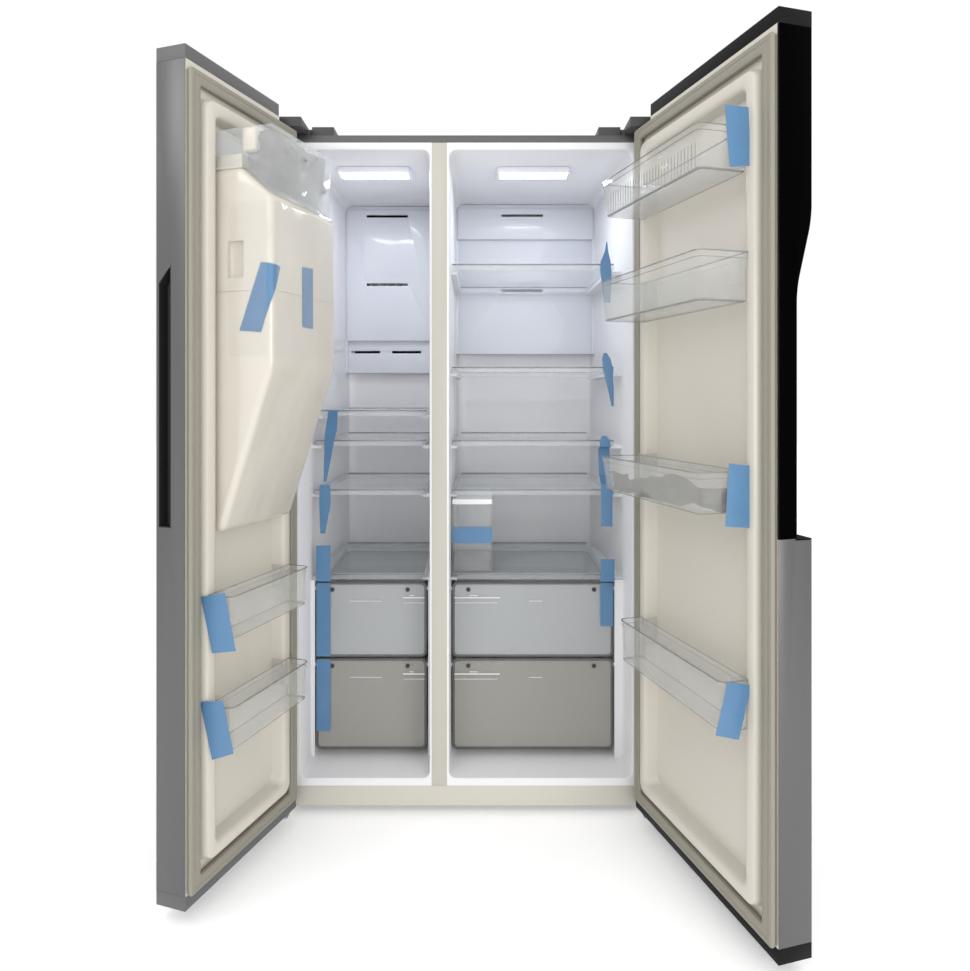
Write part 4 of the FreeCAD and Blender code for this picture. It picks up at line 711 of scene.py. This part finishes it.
def inner_moulding(door):
    """The rim's place comes from the seal ring and the door's width."""
    low, high = span(door, f"{door}_door_liner")
    width = door_width[door]
    flat_low, flat_high = Vector((low.x, 0, low.z)), Vector((width - 0.001, 0, notch_floor))
    rim_low, rim_high = Vector((0.056, 0, 0.104)), Vector((width - 0.037, 0, 1.616))
    flat = ((0, -0.030, 0.001), (0, seal_face, 0.001))
    rim = ((-0.002, seal_face, 0.020), (0, seal_face + 0.003, 0.020), (0.001, rim_face - 0.007, 0.020),
           (0.003, rim_face - 0.002, 0.019), (0.008, rim_face, 0.016), (rim_width - 0.008, rim_face, 0.014),
           (rim_width - 0.003, rim_face - 0.002, 0.014), (rim_width, rim_face - 0.007, 0.016),
           (rim_width + 0.003, sunk_face + 0.008, 0.020), (rim_width + 0.006, sunk_face + 0.002, 0.022),
           (rim_width + 0.013, sunk_face, 0.022))
    rings = [loop_uz(flat_low, flat_high, *level) for level in flat]
    rings += [loop_uz(rim_low, rim_high, *level) for level in rim]
    bm = bmesh.new()
    skin(bm, rings, first=True, last=True)
    block(bm, (notch_across, -0.03, notch_floor), (width - 0.001, seal_face, high.z))
    if door == "freezer":
        bm = carved(bm, [box_mesh(*dispenser_bay)])
    slab = copied(f"{door}_door_foam")
    slab.transform(hung(door).inverted())
    slab = carved(slab, [box_mesh((-0.1, foam_face, -0.1), (1.0, 0.5, 2.0))])
    piece(f"{door}_door_core", slab, foam, f"{door}_door", [f"{door}_door_foam"],
          place=hung(door))
    return piece(f"{door}_door_moulding", bm, door_cream, f"{door}_door", [f"{door}_door_liner"],
                 place=hung(door))


inner_moulding("freezer")
inner_moulding("fridge")


# Ice housing on the freezer door: a bulging cover with a sloping face, soft edges all round, a level
# seam, a small latch window and a slim ledge beside it. Transit film clings to it and catches light.

wrapped = finish("Wrapped liner", (0.61, 0.575, 0.505), 0.16, tone=0.05, gloss=0.14, patch=7, grain=16,
                 stretch=(1, 1, 0.5), depth=0.004, Coat_Weight=0.6, Coat_Roughness=0.06)
housing = span("freezer", "freezer_door_liner")[1].y
housing_u, housing_round = (0.060, 0.310), 0.014
chute_top, chute_shoulder, chute_foot, chute_toe = 1.486, 1.424, 1.086, 0.750
housing_back, chute_lip, bucket_rear = -0.018, 0.012, 0.057
profile = ((housing_back, chute_toe), (chute_lip, chute_toe), (housing, chute_foot),
           (housing, chute_shoulder), (bucket_rear, chute_top), (housing_back, chute_top))
bm = bmesh.new()
skin(bm, [[Vector((u, v, z)) for v, z in profile] for u in housing_u], first=True, last=True)
bmesh.ops.recalc_face_normals(bm, faces=bm.faces)
bmesh.ops.bevel(bm, geom=[e for e in bm.edges if e.calc_face_angle(0) > 0.2], offset=housing_round,
                segments=6, profile=0.5, affect="EDGES", clamp_overlap=True)
side_u, seam_low, seam_high, seam_deep = housing_u[1], 1.2345, 1.2357, 0.0012
window = box_mesh((side_u - 0.012, 0.025, 1.262), (side_u + 0.02, 0.063, 1.336), 0.004)
seam_side = box_mesh((side_u - seam_deep, -0.02, seam_low),
                     (side_u + 0.02, housing - housing_round, seam_high))
seam_face = box_mesh((0.02, housing - seam_deep, seam_low),
                     (side_u - housing_round, housing + 0.02, seam_high))
bm = carved(bm, [window, seam_side, seam_face])
piece("ice_housing", bm, wrapped, "freezer_door", place=hung("freezer"))
ledge = box_mesh((0.090, housing_back, chute_top - 0.004), (0.3095, 0.058, 1.511), 0.003)
piece("ice_housing_ledge", ledge, door_cream, "freezer_door", place=hung("freezer"))


# Ice bucket above the housing: a clear tub whose floor follows the slope, with a moulded hanger and
# a crumpled transit bag inside.

def closed_sheet(bm, lower, upper):
    """Faces over two equal grids of corners, one on each side of a thin sheet, and round its rim."""
    columns, rows = len(lower) - 1, len(lower[0]) - 1
    for grid, outward in ((lower, False), (upper, True)):
        for a, b in zip(grid, grid[1:]):
            for j in range(rows):
                face = (a[j], b[j], b[j + 1], a[j + 1])
                bm.faces.new(face if outward else tuple(reversed(face)))
    rim = ([(i, 0) for i in range(columns)] + [(columns, j) for j in range(rows)]
           + [(i, rows) for i in range(columns, 0, -1)] + [(0, j) for j in range(rows, 0, -1)])
    for (i, j), (m, n) in zip(rim, rim[1:] + rim[:1]):
        bm.faces.new((lower[i][j], lower[m][n], upper[m][n], upper[i][j]))


def crumpled(name, path, low, high, depth, seed, material, door, size=0.006, thin=0.0003):
    """A thin crumpled sheet: it stands along a u, v path between two heights and creases in and out."""
    points = [Vector((u, v, 0)) for u, v in path]
    runs = [(b - a).length for a, b in zip(points, points[1:])]
    total = sum(runs)
    columns = max(2, int(total / size))
    rows = 22
    bm = bmesh.new()
    grid = []
    for i in range(columns + 1):
        along = total * i / columns
        n = 0
        while n < len(runs) - 1 and along > runs[n]:
            along -= runs[n]
            n += 1
        spot = points[n].lerp(points[n + 1], min(1, along / runs[n]))
        ahead = (points[n + 1] - points[n]).normalized()
        normal = Vector((-ahead.y, ahead.x, 0))
        bottom, top = low(spot), high(spot)
        column = []
        for j in range(rows + 1):
            z = bottom + (top - bottom) * j / rows
            seedling = Vector((spot.x * 16 + seed, spot.y * 16, z * 22))
            bend = noise.noise(seedling) + 0.5 * noise.noise(seedling * 2.7)
            bend += 0.3 * noise.noise(seedling * 6.1)
            rise = z + depth * 0.6 * noise.noise(seedling * 2)
            column.append(spot + normal * depth * bend + Vector((0, 0, rise)))
        grid.append(column)
    sides = [[[bm.verts.new(p + lift) for p in column] for column in grid]
             for lift in (Vector((0, 0, 0)), Vector((thin, thin, 0)))]
    closed_sheet(bm, *sides)
    made = piece(name, bm, material, f"{door}_door", place=hung(door))
    return made


film = clear("Crumpled film", (0.20, 0.19, 0.175), 0.55, 0.90, roughness=0.16, Coat_Weight=0.35)
cling_film = clear("Cling film", (0.75, 0.74, 0.72), 0.03, 0.22, roughness=0.05, Coat_Weight=0.5)
bucket_high = span("freezer", "ice_bin")[1]
bucket_side, bucket_front = bucket_high.x - 0.009, bucket_high.y - 0.010
dressed("ice_bin", clear_part, ease=0.0015)


def bucket_floor(spot):
    """Level at the back of the bucket, then down the slope under it."""
    share = max(0, (spot.y - bucket_rear) / (housing - bucket_rear))
    return chute_top + 0.006 + (chute_shoulder - chute_top) * share


crumpled("ice_bucket_bag", [(bucket_side, 0.066), (bucket_side, 0.108),
                            (bucket_side - 0.009, bucket_front), (0.10, bucket_front)],
         bucket_floor, lambda spot: bucket_high.z - 0.006, 0.013, 3, film, "freezer")
crumpled("housing_film", [(0.3122, 0.030), (0.3122, 0.116), (0.298, 0.1312), (0.075, 0.1312)],
         lambda spot: 1.105, lambda spot: 1.412, 0.0016, 8, cling_film, "freezer")
hanger = box_mesh((0.289, 0.058, 1.512), (0.3108, 0.092, 1.562), 0.0065, 4)
piece("ice_bucket_hanger", hanger, door_cream, "freezer_door", place=hung("freezer"))


# Door seals: an extruded soft profile with a hollow bellows and a rounded lip, mitred and welded at
# the corners and clipped to the flat margin of each inner moulding.

seal = finish("Door seal", (0.27, 0.253, 0.208), 0.55, tone=0.05, grain=500)


def door_seal(door):
    """One seal: its section, as steps in from the outer edge and up from the face, swept round the door."""
    low, high = span(door, f"{door}_door_gasket")
    across = 0.028
    shape = ((0.004, 0), (0.0015, 0.0015), (0.004, 0.003), (0.0008, 0.0055), (0, 0.0095), (0.001, 0.0125),
             (0.003, 0.0137), (0.0095, 0.0137), (0.0115, 0.0125), (0.013, 0.0137), (0.025, 0.0137),
             (0.027, 0.0125), (across, 0.0095), (0.0272, 0.0055), (0.024, 0.003), (0.0265, 0.0015),
             (0.024, 0))
    rings = [loop_uz(low, high, inset, low.y + up, 0.004, 3) for inset, up in shape]
    bm = bmesh.new()
    rows = skin(bm, rings)
    count = len(rows[0])
    for i in range(count):
        bm.faces.new((rows[-1][i], rows[-1][(i + 1) % count], rows[0][(i + 1) % count], rows[0][i]))
    piece(f"{door}_door_seal", bm, seal, f"{door}_door", [f"{door}_door_gasket"],
          place=hung(door))


door_seal("freezer")
door_seal("fridge")


# Door bins: clear tubs with tapered walls, a thin rim that reads as a dark line, and a hanger at each
# end that hooks behind the raised rim. The top bin has fine ribs down its front.

outline = clear("Bin edge", (0.20, 0.205, 0.195), 0.62, 0.95, roughness=0.12)
bin_wall = clear("Bin wall", (0.58, 0.59, 0.57), 0.075, 0.46, roughness=0.06)
rim_inner = {door: (0.093, door_width[door] - 0.074) for door in door_width}


def door_bin(door, name, taper, ribbed=False):
    """One bin: taper is how far its walls lean in at the foot."""
    low, high = span(door, name)
    wall, band, front_round = 0.0026, 0.0022, 0.016
    hook_foot = low.z + (high.z - low.z) * 0.36
    levels = ((taper + 0.005, low.z, 0), (taper + 0.0012, low.z + 0.0012, 1), (taper, low.z + 0.003, 1),
              (0.0026, high.z - 0.013, 0), (0.0014, high.z - 0.0122, 1), (0.0014, high.z - band, 0),
              (0, high.z - band, 1), (0, high.z - 0.0005, 1), (0.0005, high.z, 1), (wall, high.z, 1),
              (wall + 0.0006, high.z - 0.001, 0), (wall + 0.0012, high.z - 0.013, 0),
              (taper + wall, low.z + 0.006, 0), (taper + wall + 0.004, low.z + wall, 0))
    rings = [loop_xy(low.x + i, high.x - i, low.y, high.y - i, z, 0.002,
                     max(0.004, front_round - i / 2), 5) for i, z, _ in levels]
    rings[-6:] = [[Vector((p.x, max(p.y, low.y + wall), p.z)) for p in ring] for ring in rings[-6:]]
    bm = bmesh.new()
    skin(bm, rings, first=True, last=True, index=[m for _, _, m in levels[1:]] + [0])
    for u in rim_inner[door]:
        joined(bm, box_mesh((u - 0.001, -0.019, hook_foot), (u + 0.001, low.y + 0.024, high.z + 0.004),
                            0.0004, 1))
    if ribbed:
        rib_count, rib_pitch, rib_face = 30, 0.0118, high.y - taper - 0.0034
        joined(bm, repeated(f"{name}_ribs", rib_count, (low.x + 0.030, rib_face - 0.0012, low.z + 0.006),
                            (low.x + 0.0308, rib_face, low.z + 0.052), (rib_pitch, 0, 0), bin_wall))
    piece(f"{name}_moulded", bm, (bin_wall, outline), f"{door}_door", [name], place=hung(door))


bins = (("freezer_bin_1", 0.004), ("freezer_bin_2", 0.004), ("fridge_bin_1", 0.010),
        ("fridge_bin_2", 0.006), ("fridge_bin_3", 0.010), ("fridge_bin_4", 0.004))
for name, taper in bins:
    door_bin(name.split("_")[0], name, taper, ribbed=name == "fridge_bin_1")
packed_low, packed_high = span("fridge", "fridge_bin_3")
crumpled("fridge_bin_bag", [(0.085, packed_high.y - 0.020), (0.200, packed_high.y - 0.016),
                            (0.330, packed_high.y - 0.018), (0.430, packed_high.y - 0.040), (0.452, 0.040)],
         lambda spot: packed_low.z + 0.006,
         lambda spot: packed_high.z - 0.012 - 0.026 * abs(math.sin(spot.x * 9)), 0.016, 11, film, "fridge")


# Outside of the doors: a black grip strip down the freezer door's free edge, the dispenser bay with
# its paddle and tray, and the glossy black upper panel of the fridge door, scooped for the fingers.

gloss_black = finish("Gloss black panel", (0.003, 0.003, 0.0035), 0.10, tone=0.02, gloss=0.03, grain=300,
                     depth=0.00001, Specular_IOR_Level=0.4)
# A darker copy of the gloss black that hardly reflects: painted shade for the panel's turned faces.
panel_painted_shade = finish("Panel painted shade", (0.0004, 0.0004, 0.0004), 0.5, tone=0.02, gloss=0.03, grain=300,
                    depth=0.00001, Specular_IOR_Level=0.01)
satin_black = finish("Satin black moulding", (0.012, 0.012, 0.014), 0.38, gloss=0.1)
dressed("freezer_grip", satin_black, ease=0.0012)
dressed("dispenser_panel", gloss_black, ease=0.0012)
dressed("dispenser_tray", satin_black, ease=0.0008)
dressed("dispenser_paddle", satin_black, ease=0.0012)
bm = copied("fridge_door_panel")
scoop_levels, scoop_round = (1.215, 1.339), 0.024
bends = [e for e in bm.edges if any(all(abs(v.co.z - z) < 0.002 for v in e.verts) for z in scoop_levels)
         and e.calc_face_angle(0) > 0.2]
bmesh.ops.bevel(bm, geom=bends, offset=scoop_round, segments=6, profile=0.5, affect="EDGES",
                clamp_overlap=True)
outward = (hung("fridge").to_3x3() @ Vector((0, -1, 0))).normalized()
bm.normal_update()
# Faces turned away from the front, the scoop's curves and the edges, take the darker copy: painted shade.
for face in bm.faces:
    face.material_index = 0 if face.normal.dot(outward) > 0.9 else 1
piece("fridge_door_panel_finished", bm, (gloss_black, panel_painted_shade), "fridge_door",
      ["fridge_door_panel"], ease=0.0009)


# Transit tape: blue strips that hold shelves, bins and drawers still. Each is thin, slightly rippled,
# stuck along the surface under it, and cut where a drawer front must be able to move.

tape_blue = finish("Blue tape", (0.088, 0.205, 0.365), 0.34, tone=0.16, gloss=0.18, patch=18, grain=60,
                   depth=0.0006)


def tape(name, rungs, lay, body, place=None, ripple=0.0004):
    """Rungs are pairs of ends across the strip, top to bottom; lay gives the point at a pair and a lift."""
    rungs = [[Vector((*pair, 0)) for pair in rung] for rung in rungs]
    across, along = 8, 6 * (len(rungs) - 1) if len(rungs) > 2 else 16
    bm = bmesh.new()
    sides = []
    for lift in (0.0003, 0.0009):
        side = []
        for j in range(along + 1):
            place_on = j / along * (len(rungs) - 1)
            n = min(int(place_on), len(rungs) - 2)
            left, right = (a.lerp(b, place_on - n) for a, b in zip(rungs[n], rungs[n + 1]))
            row = []
            for i in range(across + 1):
                spot = left.lerp(right, i / across)
                wave = ripple * (1 + noise.noise(Vector((spot.x * 60, spot.y * 25, len(name)))))
                row.append(bm.verts.new(lay(spot.x, spot.y, lift + wave)))
            side.append(row)
        sides.append(list(zip(*side)))
    closed_sheet(bm, *sides)
    return piece(name, bm, tape_blue, body, place=place)


def on_housing(s, z, lift):
    """Round the housing's free edge: s runs from the door out over the side and on to the face."""
    turn = housing - housing_round
    arc = housing_round * math.pi / 2
    if s <= turn:
        return Vector((side_u + lift, s, z))
    if s >= turn + arc:
        return Vector((side_u - housing_round - (s - turn - arc), housing + lift, z))
    angle = (s - turn) / housing_round
    radius = housing_round + lift
    return Vector((side_u - housing_round + radius * math.cos(angle), turn + radius * math.sin(angle), z))


tape("housing_tape_1", (((0.104, 1.290), (0.150, 1.284)), ((0.054, 1.156), (0.104, 1.152))), on_housing,
     "freezer_door", hung("freezer"))
face_start = housing - housing_round + housing_round * math.pi / 2
face_s = side_u - housing_round + face_start
tape("housing_tape_2", (((face_s - 0.202, 1.297), (face_s - 0.161, 1.300)),
                        ((face_s - 0.202, 1.171), (face_s - 0.160, 1.170))), on_housing, "freezer_door",
     hung("freezer"))


def on_bin_end(door):
    """Lays tape on the free end of a door's bins, at v and z."""
    end = span(door, f"{door}_bin_1")[1].x
    return lambda v, z, lift: Vector((end + 0.0014 + lift, v, z))


bin_tapes = (("freezer_bin_tape_1", (((-0.006, 0.63), (0.05, 0.643)), ((0.02, 0.522), (0.075, 0.532)))),
             ("freezer_bin_tape_2", (((-0.008, 0.423), (0.045, 0.432)), ((0.02, 0.313), (0.07, 0.333)))),
             ("fridge_bin_tape_1", (((0.059, 1.545), (0.01, 1.546)), ((0.049, 1.435), (0.006, 1.441)))),
             ("fridge_bin_tape_2", (((0.05, 0.905), (0.003, 0.899)), ((0.058, 0.792), (0.006, 0.787)))),
             ("fridge_bin_tape_3", (((0.053, 0.514), (0.004, 0.503)), ((0.078, 0.422), (0.03, 0.408)))))
for name, rungs in bin_tapes:
    door = name.split("_")[0]
    tape(name, rungs, on_bin_end(door), f"{door}_door", hung(door))


def at_front(y):
    """Lays tape on a plane facing the front, at x and z."""
    return lambda x, z, lift: Vector((x, y - lift, z))


shelf_front = at_front(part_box("fridge_shelf_1")[0].y - 0.001)
short_shelf, long_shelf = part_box("freezer_shelf_1")[0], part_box("freezer_shelf_2")
back_step = short_shelf.y - long_shelf[0].y


def behind_bin(x, z, lift):
    """Runs down the shelf fronts but hangs slack where the door's bin comes in between them."""
    edge, bow = 0.005, 0.031
    slack = min(1, max(0, (z - packed_low.z + edge) / edge), max(0, (packed_high.z + edge - z) / edge))
    return shelf_front(x, z, lift) + Vector((0, bow * max(0, slack), 0))


def up_to_short_shelf(x, z, lift):
    """The top freezer shelf is shorter than the one below, so the strip leans back to reach it."""
    foot = long_shelf[1].z
    lean = min(1, max(0, (z - foot) / (short_shelf.z - 0.003 - foot)))
    return shelf_front(x, z, lift) + Vector((0, back_step * lean, 0))


drawer_front = at_front(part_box("crisper_drawer_upper")[0].y - 0.0006)
pointed = (("fridge_shelf_tape_1", ((0.361, 1.424, 0.001), (0.360, 1.398, 0.005), (0.358, 1.374, 0.013),
                                    (0.3585, 1.348, 0.0145), (0.360, 1.322, 0.0125), (0.362, 1.268, 0.008))),
           ("fridge_shelf_tape_2", ((0.357, 1.138, 0.004), (0.360, 1.122, 0.011), (0.364, 1.098, 0.013),
                                    (0.367, 1.070, 0.010), (0.372, 1.040, 0.007), (0.376, 1.000, 0.003))),
           ("fridge_shelf_tape_3", ((0.354, 0.924, 0.006), (0.356, 0.912, 0.013), (0.359, 0.880, 0.015),
                                    (0.361, 0.820, 0.015), (0.361, 0.690, 0.0145))),
           ("freezer_shelf_tape_1", ((-0.350, 0.990, 0.012), (-0.352, 0.940, 0.015), (-0.358, 0.880, 0.010),
                                     (-0.366, 0.806, 0.004))),
           ("freezer_shelf_tape_2", ((-0.366, 0.798, 0.013), (-0.366, 0.750, 0.015),
                                     (-0.372, 0.672, 0.006))))
loose = {"fridge_shelf_tape_3": behind_bin, "freezer_shelf_tape_1": up_to_short_shelf}
for name, spots in pointed:
    rungs = [((x - half, z), (x + half, z)) for x, z, half in spots]
    tape(name, rungs, loose.get(name, shelf_front), "cabinet")
straight = (("crisper_tape_top", 0.345, 0.381, 0.548, 0.606, shelf_front, "cabinet"),
            ("crisper_tape_low", 0.346, 0.379, 0.430, 0.542, drawer_front, "crisper_drawer_upper"),
            ("freezer_drawer_tape_top", -0.389, -0.352, 0.549, 0.641, shelf_front, "cabinet"),
            ("freezer_drawer_tape_mid", -0.390, -0.354, 0.352, 0.542, drawer_front, "freezer_drawer_upper"),
            ("freezer_drawer_tape_low", -0.390, -0.354, 0.158, 0.344, drawer_front, "freezer_drawer_lower"),
            ("snack_box_tape", -0.0375, 0.0655, 0.646, 0.688, at_front(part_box("snack_box")[0].y - 0.0004),
             "cabinet"))
for name, x0, x1, z0, z1, lay, body in straight:
    tape(name, (((x0, z1), (x1, z1)), ((x0, z0), (x1, z0))), lay, body)
